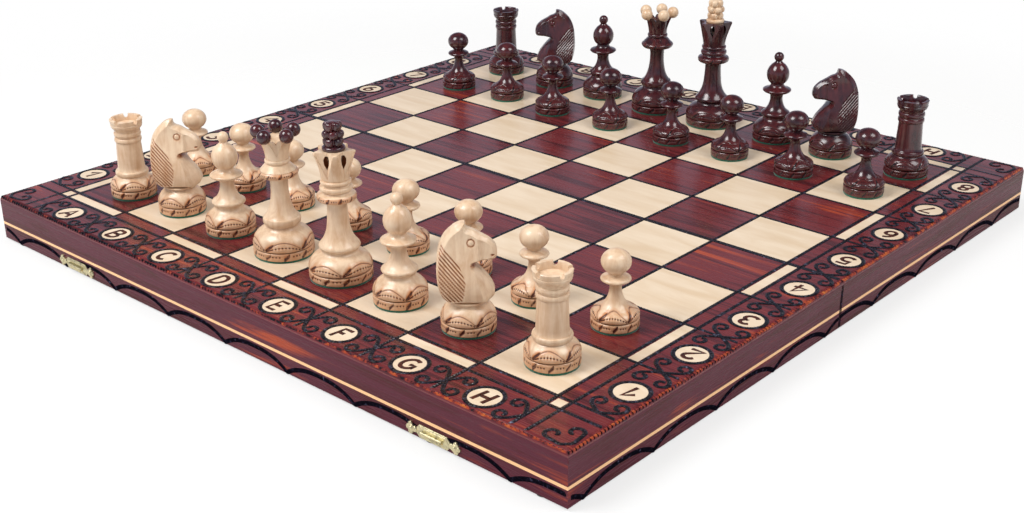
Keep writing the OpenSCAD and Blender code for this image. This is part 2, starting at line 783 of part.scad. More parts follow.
// Knight that looks along the direction of turn
module knight(turn) {
    bead_r = knight_bead_d / 2;
    felt_disc(knight_foot_d);
    turned(concat(
        foot(knight_foot_d / 2, bead_r - 1.5, knight_bead_z - 2.5),
        [[bead_r, knight_bead_z - 1.2], [bead_r, knight_bead_z - 0.4],
         [bead_r - 0.4, knight_bead_z + 0.2], [0, knight_bead_z + 0.2]]));
    rotate(turn) horse();
}

// V-shaped cuts into the outside of a crown, from its rim down
module crown_cuts(points, inner_r, outer_r, rim, depth, width) {
    for (k = [0 : points - 1])
        rotate((k + 0.5) * 360 / points) translate([inner_r, 0, rim]) rotate([90, 0, 90])
            linear_extrude(outer_r) polygon([[-width / 2, 1], [0, -depth], [width / 2, 1]]);
}

module queen() {
    neck_r = queen_neck_d / 2;
    waist_r = queen_waist_d / 2;
    ring_r = queen_ball_ring_d / 2;
    crown_r = ring_r + 0.6;
    crown_dish = 4;
    ball_seat = 1.6;
    ball_z = queen_crown_z + queen_ball_d / 2 - ball_seat;
    stem_r = queen_bead_d / 2 - 1.2;
    bead_half = 2.4;
    collar_r = queen_collar_d / 2;
    upper_bead_half = 1.2;
    upper_bead_z = queen_collar_z + 7;
    crown_foot_z = upper_bead_z + 2 * upper_bead_half;
    notch_depth = 12;
    notch_w = 2.1 * ring_r * sin(180 / queen_points);
    felt_disc(queen_foot_d);
    difference() {
        turned(concat(
            foot(queen_foot_d / 2, stem_r, queen_bead_z - 1.2 * bead_half),
            bead(queen_bead_d / 2, queen_bead_z, bead_half, stem_r),
            bend([stem_r, queen_bead_z + bead_half], [neck_r, queen_bead_z + 3 * bead_half],
                 [neck_r, (queen_bead_z + 2 * queen_collar_z) / 3]),
            [[neck_r, queen_collar_z - 4], [collar_r - 1.2, queen_collar_z - 2.2],
             [collar_r, queen_collar_z - 0.6], [collar_r - 0.4, queen_collar_z + 0.4],
             [waist_r + 1, upper_bead_z - 2 * upper_bead_half],
             [waist_r - 0.6, upper_bead_z - 1.2 * upper_bead_half]],
            bead(waist_r + 0.3, upper_bead_z, upper_bead_half, waist_r - 0.4),
            [[waist_r, crown_foot_z]],
            bend([waist_r, crown_foot_z], [waist_r * 1.08, (crown_foot_z + queen_crown_z) / 2],
                 [crown_r, queen_crown_z]),
            [[ring_r - crown_dish, queen_crown_z], [0, queen_crown_z - crown_dish]]));
        crown_cuts(queen_points, ring_r - crown_dish - 0.5, crown_r, queen_crown_z, notch_depth, notch_w);
        queen_balls(ball_z, ring_r, glue_line);
    }
    queen_balls(ball_z, ring_r, 0);
}

// Balls on the points of a queen's crown, each larger all round by room
module queen_balls(ball_z, ring_r, room) {
    for (k = [0 : queen_points - 1])
        rotate(k * 360 / queen_points) translate([ring_r, 0, ball_z])
            sphere(r = queen_ball_d / 2 + room);
}

module king() {
    neck_r = king_neck_d / 2;
    waist_r = king_waist_d / 2;
    collar_r = king_collar_d / 2;
    crown_r = king_crown_d / 2;
    stem_r = king_bead_d / 2 - 1.5;
    bead_half = 2.2;
    lip_r = collar_r - 1.8;
    ring_half = 1.6;
    lower_ring_z = king_collar_z + 5.4;
    upper_ring_z = lower_ring_z + 2.5 * ring_half;
    crown_foot_z = upper_ring_z + 1.6 * ring_half;
    notch_depth = 16;
    notch_w = 1.7 * crown_r * sin(180 / king_points);
    felt_disc(king_foot_d);
    difference() {
        turned(concat(
            foot(king_foot_d / 2, stem_r, king_bead_z - 1.2 * bead_half),
            bead(king_bead_d / 2, king_bead_z, bead_half, stem_r),
            bend([stem_r, king_bead_z + bead_half], [neck_r, king_bead_z + 4 * bead_half],
                 [neck_r, (king_bead_z + 2 * king_collar_z) / 3]),
            [[neck_r + 0.3, king_collar_z - 4], [lip_r, king_collar_z - 2.2],
             [collar_r, king_collar_z - 0.8], [collar_r, king_collar_z + 0.6],
             [lip_r, king_collar_z + 2]],
            bead(waist_r + 1.6, lower_ring_z, ring_half, waist_r + 0.2),
            bead(waist_r + 0.8, upper_ring_z, ring_half, waist_r - 0.6),
            [[waist_r, crown_foot_z]],
            bend([waist_r, crown_foot_z], [waist_r * 1.16, (crown_foot_z + king_crown_z) / 2],
                 [crown_r, king_crown_z]),
            [[king_finial_d / 2, king_crown_z], [0, king_crown_z]]));
        crown_cuts(king_points, king_finial_d / 2 + 1, crown_r, king_crown_z, notch_depth, notch_w);
    }
    king_finial();
}

// Notched finial that stands on the crown
module king_finial() {
    r = king_finial_d / 2;
    start = king_crown_z + glue_line;
    rise = king_h - start;
    turned([[0, start], [r, start], [r, start + rise * 0.08], [r * 0.7, start + rise * 0.16],
            [r * 0.9, start + rise * 0.24], [r * 0.95, start + rise * 0.4], [r * 0.72, start + rise * 0.47],
            [r, start + rise * 0.54], [r, start + rise * 0.68], [r * 0.66, start + rise * 0.76],
            [r * 0.78, start + rise * 0.82], [r * 0.6, start + rise * 0.94], [0, king_h]]);
}

// One chessman of a kind, drawn on its own foot
module man(kind, turn) {
    if (kind == "pawn") pawn();
    if (kind == "rook") rook();
    if (kind == "knight") knight(turn);
    if (kind == "bishop") bishop();
    if (kind == "queen") queen();
    if (kind == "king") king();
}

// Chessman of a kind on file i and row j, both counted from 0, at its stand in that square
module man_at(kind, i, j, stand, turn) {
    translate([square_x(i) + stand[0], row_y(j) + stand[1], top_z])
        man(kind, turn);
}

// ---- Nodes of the near half ----

module near_panel() { color(MAHOGANY) panel_shape(false); }
module near_light_squares() { color(MAPLE) light_squares(false); }
module near_border_inlays() {
    color(MAPLE) {
        dashes(false);
        coordinate_discs();
        wall_line(wall_line_t);
    }
}
module near_front_wall() { color(MAHOGANY) outer_wall_shape(); }
module near_left_wall() { color(MAHOGANY) side_wall_shape(-1); }
module near_right_wall() { color(MAHOGANY) side_wall_shape(1); }
module near_spine_wall() { color(MAHOGANY) spine_wall_shape(); }
module near_tray() { color(FELT) tray_shape(); }
module near_felt_pads() { color(FELT) felt_pads(near_pad_inset); }
module near_hinge_leaves() {
    color(BRASS) for (side = [-1, 1]) translate([side * hinge_x, 0, rim_z]) hinge_leaf(0, 0);
}
module near_screws() { color(BRASS) half_screws(); }
module catch_plates() {
    color(BRASS) for (side = [-1, 1]) translate([side * clasp_x, -half_w, 0]) catch_plate();
}
module hinge_pins() {
    color(BRASS) for (side = [-1, 1]) translate([side * hinge_x, 0, rim_z]) hinge_pin();
}

// ---- Nodes of the far half ----

module far_panel() { color(MAHOGANY) on_far_half() panel_shape(true); }
module far_light_squares() { color(MAPLE) on_far_half() light_squares(true); }
module far_border_inlays() {
    color(MAPLE) on_far_half() {
        dashes(true);
        coordinate_discs();
        wall_line(wall_line_t);
    }
}
module far_back_wall() { color(MAHOGANY) on_far_half() outer_wall_shape(); }
module far_left_wall() { color(MAHOGANY) on_far_half() side_wall_shape(-1); }
module far_right_wall() { color(MAHOGANY) on_far_half() side_wall_shape(1); }
module far_spine_wall() { color(MAHOGANY) on_far_half() spine_wall_shape(); }
module far_tray() { color(FELT) on_far_half() mirror([1, 0, 0]) tray_shape(); }
module far_felt_pads() { color(FELT) on_far_half() felt_pads(far_pad_inset); }
module far_hinge_leaves() {
    color(BRASS) for (side = [-1, 1]) translate([side * hinge_x, 0, rim_z])
        on_far_half() hinge_leaf(1, pin_play);
}
module far_screws() { color(BRASS) on_far_half() half_screws(); }
module latch_plates() {
    color(BRASS) on_far_half()
        for (side = [-1, 1]) translate([side * clasp_x, -half_w, 0]) latch_plate();
}
module latch_pins() {
    color(BRASS) on_far_half()
        for (side = [-1, 1]) translate([side * clasp_x, -half_w, 0]) latch_pin();
}
module latch(side) {
    color(BRASS) on_far_half() translate([side * clasp_x, -half_w, 0]) latch_shape();
}

near_panel();
near_light_squares();
near_border_inlays();
near_front_wall();
near_left_wall();
near_right_wall();
near_spine_wall();
near_tray();
near_felt_pads();
near_hinge_leaves();
near_screws();
catch_plates();
hinge_pins();
far_panel();
far_light_squares();
far_border_inlays();
far_back_wall();
far_left_wall();
far_right_wall();
far_spine_wall();
far_tray();
far_felt_pads();
far_hinge_leaves();
far_screws();
latch_plates();
latch_pins();
latch(-1);  // left_latch
latch(1);  // right_latch

// Chessmen of both sides: back ranks and pawns on every file
for (i = [0 : squares - 1]) {
    kind = RANK_1[i];
    back_light = str("light_", kind, "_", FILES[i], "1");
    back_dark = str("dark_", kind, "_", FILES[i], "8");
    pawn_light = str("light_pawn_", FILES[i], "2");
    pawn_dark = str("dark_pawn_", FILES[i], "7");
    color(BOXWOOD) man_at(kind, i, 0, LIGHT_BACK_STAND[i], knight_turn);
    color(BOXWOOD) man_at("pawn", i, 1, LIGHT_PAWN_STAND[i], 0);
    color(ROSEWOOD) man_at("pawn", i, squares - 2, DARK_PAWN_STAND[i], 0);
    color(ROSEWOOD) man_at(kind, i, squares - 1, DARK_BACK_STAND[i], knight_turn + 180);
}
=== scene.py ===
# A folding chess box, opened flat with its thirty-two men set out, on a pale table.
# The frame gives every size and place. This file gives the finish of the woods, the burnt
# ornament of the border, the carved men and the cast catches. Metres, unless a name says mm.
import math

import bmesh
import bpy
import numpy as np
from bpy.props import FloatProperty, FloatVectorProperty, IntProperty, PointerProperty
from mathutils import Matrix, Vector


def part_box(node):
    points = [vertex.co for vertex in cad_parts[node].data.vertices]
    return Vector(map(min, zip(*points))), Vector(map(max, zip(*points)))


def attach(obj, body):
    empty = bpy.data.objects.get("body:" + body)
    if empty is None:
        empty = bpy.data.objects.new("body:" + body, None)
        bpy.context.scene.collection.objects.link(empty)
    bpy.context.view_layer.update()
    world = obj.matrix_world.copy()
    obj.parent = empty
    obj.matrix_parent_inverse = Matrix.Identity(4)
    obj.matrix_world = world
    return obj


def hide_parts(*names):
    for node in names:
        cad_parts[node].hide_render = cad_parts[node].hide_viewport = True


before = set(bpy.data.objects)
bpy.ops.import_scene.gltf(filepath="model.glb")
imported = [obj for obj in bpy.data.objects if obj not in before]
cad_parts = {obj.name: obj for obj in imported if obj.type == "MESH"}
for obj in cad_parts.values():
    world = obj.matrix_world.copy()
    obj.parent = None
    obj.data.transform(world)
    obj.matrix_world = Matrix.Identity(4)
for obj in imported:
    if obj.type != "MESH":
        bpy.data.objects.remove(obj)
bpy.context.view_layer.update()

bl_info = {
    "name": "Folding chess box",
    "version": (1, 0, 0),
    "blender": (4, 5, 0),
    "location": "3D View > Sidebar > Chess Box",
    "description": "Dresses a folding chess box: burnt border, turned and carved men, cast catches",
    "category": "Object",
}

MM = 0.001
PANEL_LOW, PANEL_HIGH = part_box("near_panel")
HALF_W = PANEL_HIGH.x
TOP_Z = PANEL_HIGH.z
RIM_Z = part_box("near_front_wall")[0].z
FILES = "ABCDEFGH"
RANKS = "12345678"
MID = len(FILES) // 2
CARVING = "carving"
# Attribute that darkens the men: burns, and painted shade in hollows and under the knight's jaw.
BURN_AND_SHADE = "burn_and_shade"


def srgb(red, green, blue):
    """Linear colour of a tone that is given as it looks on a screen, 0 to 255."""
    tones = (red / 255, green / 255, blue / 255)
    return tuple(t / 12.92 if t <= 0.04045 else ((t + 0.055) / 1.055) ** 2.4 for t in tones)


def colour_prop(name, description, tone):
    """A colour that a user can change, from a tone as it looks on a screen."""
    return FloatVectorProperty(name=name, description=description, subtype="COLOR", size=3,
                               min=0.0, max=1.0, default=srgb(*tone))


def length_prop(name, description, value):
    """A length that a user can change, in metres."""
    return FloatProperty(name=name, description=description, unit="LENGTH", default=value)


class ChessOrnament(bpy.types.PropertyGroup):
    """Sizes of the burnt ornament"""

    line_w: length_prop("Burnt line", "Width of the groove between two squares", 0.0025)
    band_w: length_prop("Inner band", "Distance from the field to the line of the inner band", 0.0105)
    disc_out: length_prop("Disc distance", "Distance from the field to a disc's centre", 0.02675)
    disc_d: length_prop("Disc", "Diameter of a coordinate disc", 0.021)
    edge_r: length_prop("Rounded edge", "Radius of the panel's rounded edge", 0.0035)
    bead_pitch: length_prop("Bead pitch", "Distance between two pressed beads of a line", 0.0022)
    line_stroke: length_prop("Line stroke", "Width of a straight burnt stroke", 0.0035)
    scroll_w: length_prop("Scroll stroke", "Width of a scroll's burnt stroke", 0.0027)
    ring_w: length_prop("Ring stroke", "Width of the ring around a disc", 0.0027)
    arch_w: length_prop("Arch stroke", "Width of the burnt arches on the walls", 0.0030)
    seam_w: length_prop("Seam stroke", "Width of the burnt stroke beside the fold", 0.0013)
    arch_rise: length_prop("Arch rise", "Height of an arch on a wall", 0.0075)
    rope_pitch: length_prop("Rope pitch", "Distance between two notches of the edge", 0.0029)
    glyph_w: length_prop("Letter stroke", "Width of a burnt letter's stroke", 0.0028)
    glyph_h: length_prop("Letter", "Height of a burnt letter", 0.0118)


class ChessWoods(bpy.types.PropertyGroup):
    """Tones of the woods, the felt and the brass"""

    stain_deep: colour_prop("Deep stain", "Darkest tone of the stained board", (74, 23, 28))
    stain_mid: colour_prop("Stain", "Usual tone of the stained board", (108, 38, 41))
    stain_streak: colour_prop("Stain streak", "Bright streaks of the stained board", (166, 68, 38))
    wall_mid: colour_prop("Wall stain", "Usual tone of the stained walls", (87, 33, 48))
    maple: colour_prop("Maple", "Tone of the light squares", (229, 209, 184))
    maple_shade: colour_prop("Maple shade", "Darker figure in the light squares", (217, 192, 161))
    line_tone: colour_prop("Light line", "Tone of the light line in the walls", (250, 196, 140))
    burnt: colour_prop("Burnt", "Tone of the burnt lines", (14, 12, 20))
    boxwood: colour_prop("Boxwood", "Tone of the light men", (230, 203, 173))
    boxwood_shade: colour_prop("Boxwood shade", "Darker grain of the light men", (206, 168, 133))
    scorch: colour_prop("Scorch", "Scorched halo beside a burnt stroke", (196, 116, 54))
    scorch_core: colour_prop("Scorch core", "Core of a burnt stroke on the men", (74, 29, 13))
    rosewood: colour_prop("Rosewood", "Tone of the dark men", (47, 18, 26))
    rosewood_light: colour_prop("Rosewood light", "Lighter grain of the dark men", (88, 36, 38))
    felt: colour_prop("Felt", "Felt under the men and the box", (8, 92, 72))
    flock: colour_prop("Flock", "Flock of the trays", (14, 58, 44))
    brass: colour_prop("Brass", "Brass of hinges, screws and latches", (206, 172, 100))
    casting: colour_prop("Casting", "Pale brass of the cast catches", (216, 206, 168))


class ChessMen(bpy.types.PropertyGroup):
    """Making of the men"""

    steps: IntProperty(name="Steps", description="Faces around a turned man", default=120, min=24)
    carve: length_prop("Carving depth", "Depth of the carved arches on a man's foot", 0.0005)
    knight_turn: FloatProperty(name="Knight's turn", description="Angle of the knights from the files",
                               subtype="ANGLE", default=math.radians(42))


class ChessStudio(bpy.types.PropertyGroup):
    """Camera and light"""

    lens: FloatProperty(name="Lens", description="Focal length in mm on a 36 mm sensor", default=49.87)
    key: FloatProperty(name="Key light", description="Power of the key light in watts", default=24.0)
    fill: FloatProperty(name="Fill light", description="Power of the fill light in watts", default=12.0)
    sky: FloatProperty(name="Sky", description="Strength of the even light around", default=0.42)


# ---- Node trees ----


def node(tree, kind, inputs=None, **settings):
    """Adds a node and sets or links its inputs, which are named or numbered."""
    made = tree.nodes.new(kind)
    for key, value in settings.items():
        setattr(made, key, value)
    for key, value in (inputs or {}).items():
        if isinstance(value, bpy.types.NodeSocket):
            tree.links.new(value, made.inputs[key])
        else:
            made.inputs[key].default_value = value
    return made


def calc(tree, operation, a, b=0.0, c=0.0, clamp=False):
    """Result of a Math node."""
    inputs = {0: a, 1: b, 2: c}
    return node(tree, "ShaderNodeMath", inputs, operation=operation, use_clamp=clamp).outputs[0]


def spread(tree, value, low, high, to_low=0.0, to_high=1.0):
    """Value moved smoothly from low..high to to_low..to_high."""
    inputs = {0: value, 1: low, 2: high, 3: to_low, 4: to_high}
    return node(tree, "ShaderNodeMapRange", inputs, interpolation_type="SMOOTHSTEP").outputs[0]


def blend(tree, factor, a, b):
    """Colour between a and b."""
    made = node(tree, "ShaderNodeMix", data_type="RGBA")
    for index, value in ((0, factor), (6, a), (7, b)):
        if isinstance(value, bpy.types.NodeSocket):
            tree.links.new(value, made.inputs[index])
        elif index == 0:
            made.inputs[index].default_value = value
        else:
            made.inputs[index].default_value = (*tuple(value)[:3], 1.0)
    return made.outputs[2]


def vectors(tree, operation, a, b=(0.0, 0.0, 0.0), socket=0):
    """Result of a Vector Math node."""
    return node(tree, "ShaderNodeVectorMath", {0: a, 1: b}, operation=operation).outputs[socket]


def stretched(tree, vector, scale):
    """Vector scaled along each axis."""
    return node(tree, "ShaderNodeMapping", {"Vector": vector, "Scale": scale}).outputs[0]


def clouds(tree, vector, scale=1.0, detail=3.0, roughness=0.5, distortion=0.0):
    """Value of a noise texture."""
    inputs = {"Vector": vector, "Scale": scale, "Detail": detail, "Roughness": roughness,
              "Distortion": distortion}
    return node(tree, "ShaderNodeTexNoise", inputs).outputs[0]


def tones(tree, factor, *stops):
    """Colour ramp with (position, colour) stops."""
    ramp = tree.nodes.new("ShaderNodeValToRGB")
    while len(ramp.color_ramp.elements) < len(stops):
        ramp.color_ramp.elements.new(0.5)
    for element, (position, colour) in zip(ramp.color_ramp.elements, stops):
        element.position = position
        element.color = (*tuple(colour)[:3], 1.0)
    tree.links.new(factor, ramp.inputs[0])
    return ramp.outputs[0]


def new_material(name):
    """Empty material and its tree."""
    material = bpy.data.materials.new(name)
    material.use_nodes = True
    material.node_tree.nodes.clear()
    return material, material.node_tree


def surface(tree, colour, roughness, bump=None, bump_height=0.0002, **constants):
    """Principled surface at the tree's end. Constants are set on the shader's own sockets."""
    inputs = {"Base Color": colour, "Roughness": roughness}
    inputs.update({key.replace("_", " "): value for key, value in constants.items()})
    if not isinstance(colour, bpy.types.NodeSocket):
        inputs["Base Color"] = (*tuple(colour)[:3], 1.0)
    shader = node(tree, "ShaderNodeBsdfPrincipled", inputs)
    if bump is not None:
        made = node(tree, "ShaderNodeBump", {"Height": bump, "Distance": bump_height, "Strength": 1.0})
        tree.links.new(made.outputs[0], shader.inputs["Normal"])
    out = tree.nodes.new("ShaderNodeOutputMaterial")
    tree.links.new(shader.outputs[0], out.inputs[0])


def places(tree):
    """The piece's own coordinates: the whole vector, then X, Y and Z."""
    vector = node(tree, "ShaderNodeTexCoord").outputs["Object"]
    parts = node(tree, "ShaderNodeSeparateXYZ", {0: vector}).outputs
    return vector, parts[0], parts[1], parts[2]


def facing(tree):
    """X, Y and Z of the surface's direction in the piece's own space."""
    normal = node(tree, "ShaderNodeTexCoord").outputs["Normal"]
    return node(tree, "ShaderNodeSeparateXYZ", {0: normal}).outputs


def per_square(tree, vector, square):
    """Vector shifted by chance for each square of the field, so that the grain breaks at its lines.
    The border around the field is of one piece."""
    cell = vectors(tree, "FLOOR", vectors(tree, "DIVIDE", vector, (square, square, 10.0)))
    edge = len(FILES) / 2
    inner = vectors(tree, "MAXIMUM", cell, (-edge, -edge, -1.0))
    inner = vectors(tree, "MINIMUM", inner, (edge - 1, edge - 1, 1.0))
    on_field = calc(tree, "LESS_THAN", vectors(tree, "DISTANCE", inner, cell, "Value"), 0.5)
    chance = node(tree, "ShaderNodeTexWhiteNoise", {"Vector": cell})
    shift = node(tree, "ShaderNodeVectorMath", {0: chance.outputs["Color"], "Scale": on_field},
                 operation="SCALE")
    return vectors(tree, "ADD", shift.outputs[0], vector), chance.outputs[0]


# ---- Materials ----


def stained(name, along, woods, ornament, mid, board=False):
    """Stained wood with its grain along an axis. A board also has burnt grooves."""
    material, tree = new_material(name)
    vector, _, _, z = places(tree)
    if board:
        vector, chance = per_square(tree, vector, square_side(ornament))
    long, across = 7.0, 150.0
    grain_scale = tuple(long if axis == along else across for axis in "XYZ")
    fine_scale = tuple(5.0 * s for s in grain_scale)
    broad = clouds(tree, stretched(tree, vector, grain_scale), 1.0, 5.0, 0.55, 0.9)
    fine = clouds(tree, stretched(tree, vector, fine_scale), 1.0, 3.0, 0.6)
    patch = clouds(tree, stretched(tree, vector, (9.0, 14.0, 9.0)), 1.0, 2.0)
    streak = calc(tree, "MULTIPLY_ADD", calc(tree, "SUBTRACT", patch, 0.5), 0.55, broad)
    streak = calc(tree, "MULTIPLY_ADD", calc(tree, "SUBTRACT", fine, 0.5), 0.17, streak)
    if board:
        streak = calc(tree, "MULTIPLY_ADD", calc(tree, "SUBTRACT", chance, 0.5), 0.05, streak)
    colour = tones(tree, streak, (0.36, woods.stain_deep), (0.50, mid), (0.62, mid),
                   (0.78, woods.stain_streak))
    roughness = spread(tree, fine, 0.3, 0.7, 0.20, 0.34)
    if board:
        up = facing(tree)[2]
        in_groove = calc(tree, "MULTIPLY", calc(tree, "LESS_THAN", z, TOP_Z - 0.0001),
                         calc(tree, "GREATER_THAN", calc(tree, "ABSOLUTE", up), 0.995))
        in_groove = calc(tree, "MULTIPLY", in_groove, calc(tree, "GREATER_THAN", z, TOP_Z - 0.001))
        colour = blend(tree, in_groove, colour, woods.burnt)
        surface(tree, colour, roughness, fine, 0.0001, Coat_Weight=0.25, Coat_Roughness=0.12)
    else:
        surface(tree, colour, roughness, fine, 0.0001, Specular_IOR_Level=0.15)
    return material


def maple(name, woods, ornament, wall_line):
    """Light inlaid wood. Its narrow line in the walls is warmer."""
    material, tree = new_material(name)
    vector, _ = per_square(tree, places(tree)[0], square_side(ornament))
    figure = clouds(tree, stretched(tree, vector, (14.0, 90.0, 90.0)), 1.0, 4.0, 0.6, 0.6)
    fleck = clouds(tree, vector, 900.0, 2.0)
    colour = tones(tree, figure, (0.3, woods.maple_shade), (0.62, woods.maple))
    colour = blend(tree, spread(tree, fleck, 0.66, 0.78, 0.0, 0.25), colour, woods.boxwood_shade)
    if wall_line:
        flat = calc(tree, "ABSOLUTE", facing(tree)[2])
        side = calc(tree, "SUBTRACT", 1.0, spread(tree, flat, 0.2, 0.6))
        colour = blend(tree, side, colour, woods.line_tone)
    surface(tree, colour, spread(tree, figure, 0.3, 0.7, 0.34, 0.46), fleck, 0.00004,
            Coat_Weight=0.25, Coat_Roughness=0.2)
    return material


def burnt_wood(name, woods, shine):
    """Charred, lacquered strokes. Their colour holds painted glints: bluish-grey specks at random over the
    charred black.
    """
    material, tree = new_material(name)
    vector = places(tree)[0]
    char_and_glint = clouds(tree, vector, 420.0, 3.0, 0.7)
    # The two upper stops are painted glints: bluish-grey specks that stand in for highlights on the beads.
    colour = tones(tree, char_and_glint, (0.52, woods.burnt), (0.62, srgb(34, 30, 46)), (0.72, srgb(100, 102, 128)))
    surface(tree, colour, spread(tree, char_and_glint, 0.3, 0.7, 0.18, 0.36), char_and_glint, 0.0001,
            Specular_IOR_Level=shine)
    return material


def rope_wood(name, woods):
    """Notched edge of the board, burnished back to orange in random patches, with painted shade that darkens
    it towards the left (-X).
    """
    material, tree = new_material(name)
    vector, x, _, _ = places(tree)
    wear_and_shade = clouds(tree, vector, 150.0, 4.0, 0.75)
    # Painted shade: the tone drops smoothly towards the left (-X), so that the edge is darker there.
    wear_and_shade = calc(tree, "ADD", wear_and_shade, spread(tree, x, -0.15, HALF_W, -0.13, -0.01))
    colour = tones(tree, wear_and_shade, (0.36, woods.burnt), (0.44, woods.stain_mid), (0.52, woods.stain_streak),
                   (0.70, woods.scorch))
    surface(tree, colour, 0.4, wear_and_shade, 0.0001, Specular_IOR_Level=0.2)
    return material


def letter_wood(name):
    """Brown burnt strokes of the letters and numbers."""
    material, tree = new_material(name)
    char = clouds(tree, places(tree)[0], 500.0, 3.0, 0.7)
    colour = tones(tree, char, (0.35, srgb(38, 12, 8)), (0.7, srgb(92, 38, 18)))
    surface(tree, colour, 0.5, char, 0.0001)
    return material


class Signal:
    """Value of a node tree that can be reckoned with like a number."""

    def __init__(self, tree, socket):
        self.tree, self.socket = tree, socket

    def new(self, operation, a, b=0.0):
        """Result of a Math node on signals or numbers."""
        sockets = [v.socket if isinstance(v, Signal) else v for v in (a, b)]
        return Signal(self.tree, calc(self.tree, operation, *sockets))

    def __add__(self, other):
        return self.new("ADD", self, other)

    def __sub__(self, other):
        return self.new("SUBTRACT", self, other)

    def __rsub__(self, other):
        return self.new("SUBTRACT", other, self)

    def __mul__(self, other):
        return self.new("MULTIPLY", self, other)

    def __mod__(self, other):
        return self.new("FLOORED_MODULO", self, other)

    def __abs__(self):
        return self.new("ABSOLUTE", self)

    __radd__, __rmul__ = __add__, __mul__


def lesser(a, b):
    """Smaller of two numbers, arrays or signals."""
    return a.new("MINIMUM", a, b) if isinstance(a, Signal) else np.minimum(a, b)


def greater(a, b):
    """Larger of two numbers, arrays or signals."""
    return a.new("MAXIMUM", a, b) if isinstance(a, Signal) else np.maximum(a, b)


def ramp(value, low, high):
    """0 below low, 1 above high and straight between them."""
    return greater(lesser((value - low) * (1 / (high - low)), 1.0), 0.0)


def swing(value):
    """Sine of a number, array or signal."""
    return value.new("SINE", value) if isinstance(value, Signal) else np.sin(value)


def beside(height, level, reach=1.25):
    """1 where a height in mm is at a level, falling to 0 at reach from it."""
    return greater(1.0 - abs(height - level) * (1 / reach), 0.0)


def pressed(u, height, reach=1.0):
    """How far a point of a man's foot is pressed and burnt, 0 to 1. u counts the arches around the
    foot, height is in mm, and reach widens the strokes. A plain arch over a dotted one, both pressed
    hardest where they start, stand over a band of slanted strokes."""
    along = u % 1.0
    across = abs(along * 2.0 - 1.0)
    crown = 1.0 - across * across
    dots = ramp(swing(u * (2 * math.pi * ARCH_DOTS)), -0.6, 0.2)
    start = ramp(0.30 - along, 0.0, 0.12)
    outer = beside(height, crown * ARCH_RISE + ARCH_FOOT, 1.15 * reach)
    outer = outer * greater(start, 0.58)
    heel = beside(height, crown * (ARCH_RISE + 0.4) + (ARCH_FOOT - 0.1), 2.0 * reach) * start
    inner = beside(height, crown * (ARCH_RISE - 2.4) + (ARCH_FOOT - 0.5), 0.95 * reach)
    inner = inner * greater(dots * 0.85, start * 0.9)
    arches = greater(greater(outer, heel), inner) * ramp(height, 7.2, 7.6)
    wave = (u * 2.0) % 1.0
    slash = ramp(WAVE_PEAK - wave, -0.02, 0.04)
    strength = swing(u * (2 * math.pi * 7 / POINTS)) * 0.15 + 0.85
    level = wave * ((WAVE_HIGH - WAVE_LOW) / WAVE_PEAK) + WAVE_LOW
    band = beside(height, level, 2.9 * reach) * slash * strength
    short = ramp(0.30 - abs(wave - 0.62), 0.0, 0.05) * dots
    band = greater(band, beside(height, WAVE_HIGH - 1.2, 1.3 * reach) * short * 0.75)
    return greater(arches, band * ramp(FOOT_GROOVE_Z - 0.4 - height, 0.0, 0.2))


def pressed_shades(tree):
    """Core and halo of the burnt pattern of a man's foot, from its carving map."""
    coordinates = node(tree, "ShaderNodeUVMap", uv_map=CARVING).outputs[0]
    u, v, _ = node(tree, "ShaderNodeSeparateXYZ", {0: coordinates}).outputs
    height = Signal(tree, v) * 100.0
    around = Signal(tree, u)
    groove = beside(height, FOOT_GROOVE_Z, 0.9) * 0.85
    core = greater(ramp(pressed(around, height), 0.35, 0.65), ramp(groove, 0.4, 0.85) * 0.8)
    warm = ramp(height, ARCH_FOOT + ARCH_RISE, ARCH_FOOT - 2.0) * 0.55
    halo = greater(ramp(pressed(around, height, 2.5), 0.15, 0.75), warm)
    return core.socket, halo.socket


def man_wood(name, base, shade, halo, core, gloss, coat):
    """Turned and carved wood with upright grain and burnt ornament. Its burn attribute darkens it like a
    burn, and also paints shade into hollows and under the knight's jaw.
    """
    material, tree = new_material(name)
    vector = places(tree)[0]
    grain = clouds(tree, stretched(tree, vector, (260.0, 260.0, 30.0)), 1.0, 4.0, 0.6, 0.5)
    blotch = clouds(tree, vector, 60.0, 3.0, 0.6)
    colour = tones(tree, calc(tree, "MULTIPLY_ADD", blotch, 0.45, calc(tree, "MULTIPLY", grain, 0.55)),
                   (0.36, shade), (0.58, base))
    core_shade, halo_shade = pressed_shades(tree)
    # Burns on the knight's grooves, eye and nostril, and painted shade in the queen's slits, the king's
    # pierced hollows and the knight's throat.
    burn_and_shade_marks = node(tree, "ShaderNodeAttribute", attribute_name=BURN_AND_SHADE).outputs["Fac"]
    speck = clouds(tree, vector, 700.0, 2.0, 0.6)
    rough = spread(tree, speck, 0.30, 0.5, 0.55, 1.0)
    burn_and_shade = calc(tree, "MAXIMUM", calc(tree, "MULTIPLY", core_shade, rough), burn_and_shade_marks)
    uneven = spread(tree, blotch, 0.3, 0.6, 0.45, 0.95)
    singed = calc(tree, "MAXIMUM", calc(tree, "MULTIPLY", halo_shade, uneven),
                  calc(tree, "MULTIPLY", burn_and_shade_marks, 2.0, clamp=True))
    colour = blend(tree, singed, colour, halo)
    colour = blend(tree, burn_and_shade, colour, core)
    height = calc(tree, "SUBTRACT", calc(tree, "MULTIPLY", grain, 0.25), burn_and_shade)
    surface(tree, colour, spread(tree, blotch, 0.3, 0.7, gloss, gloss + 0.12), height, 0.00018,
            Coat_Weight=coat, Coat_Roughness=0.15)
    return material


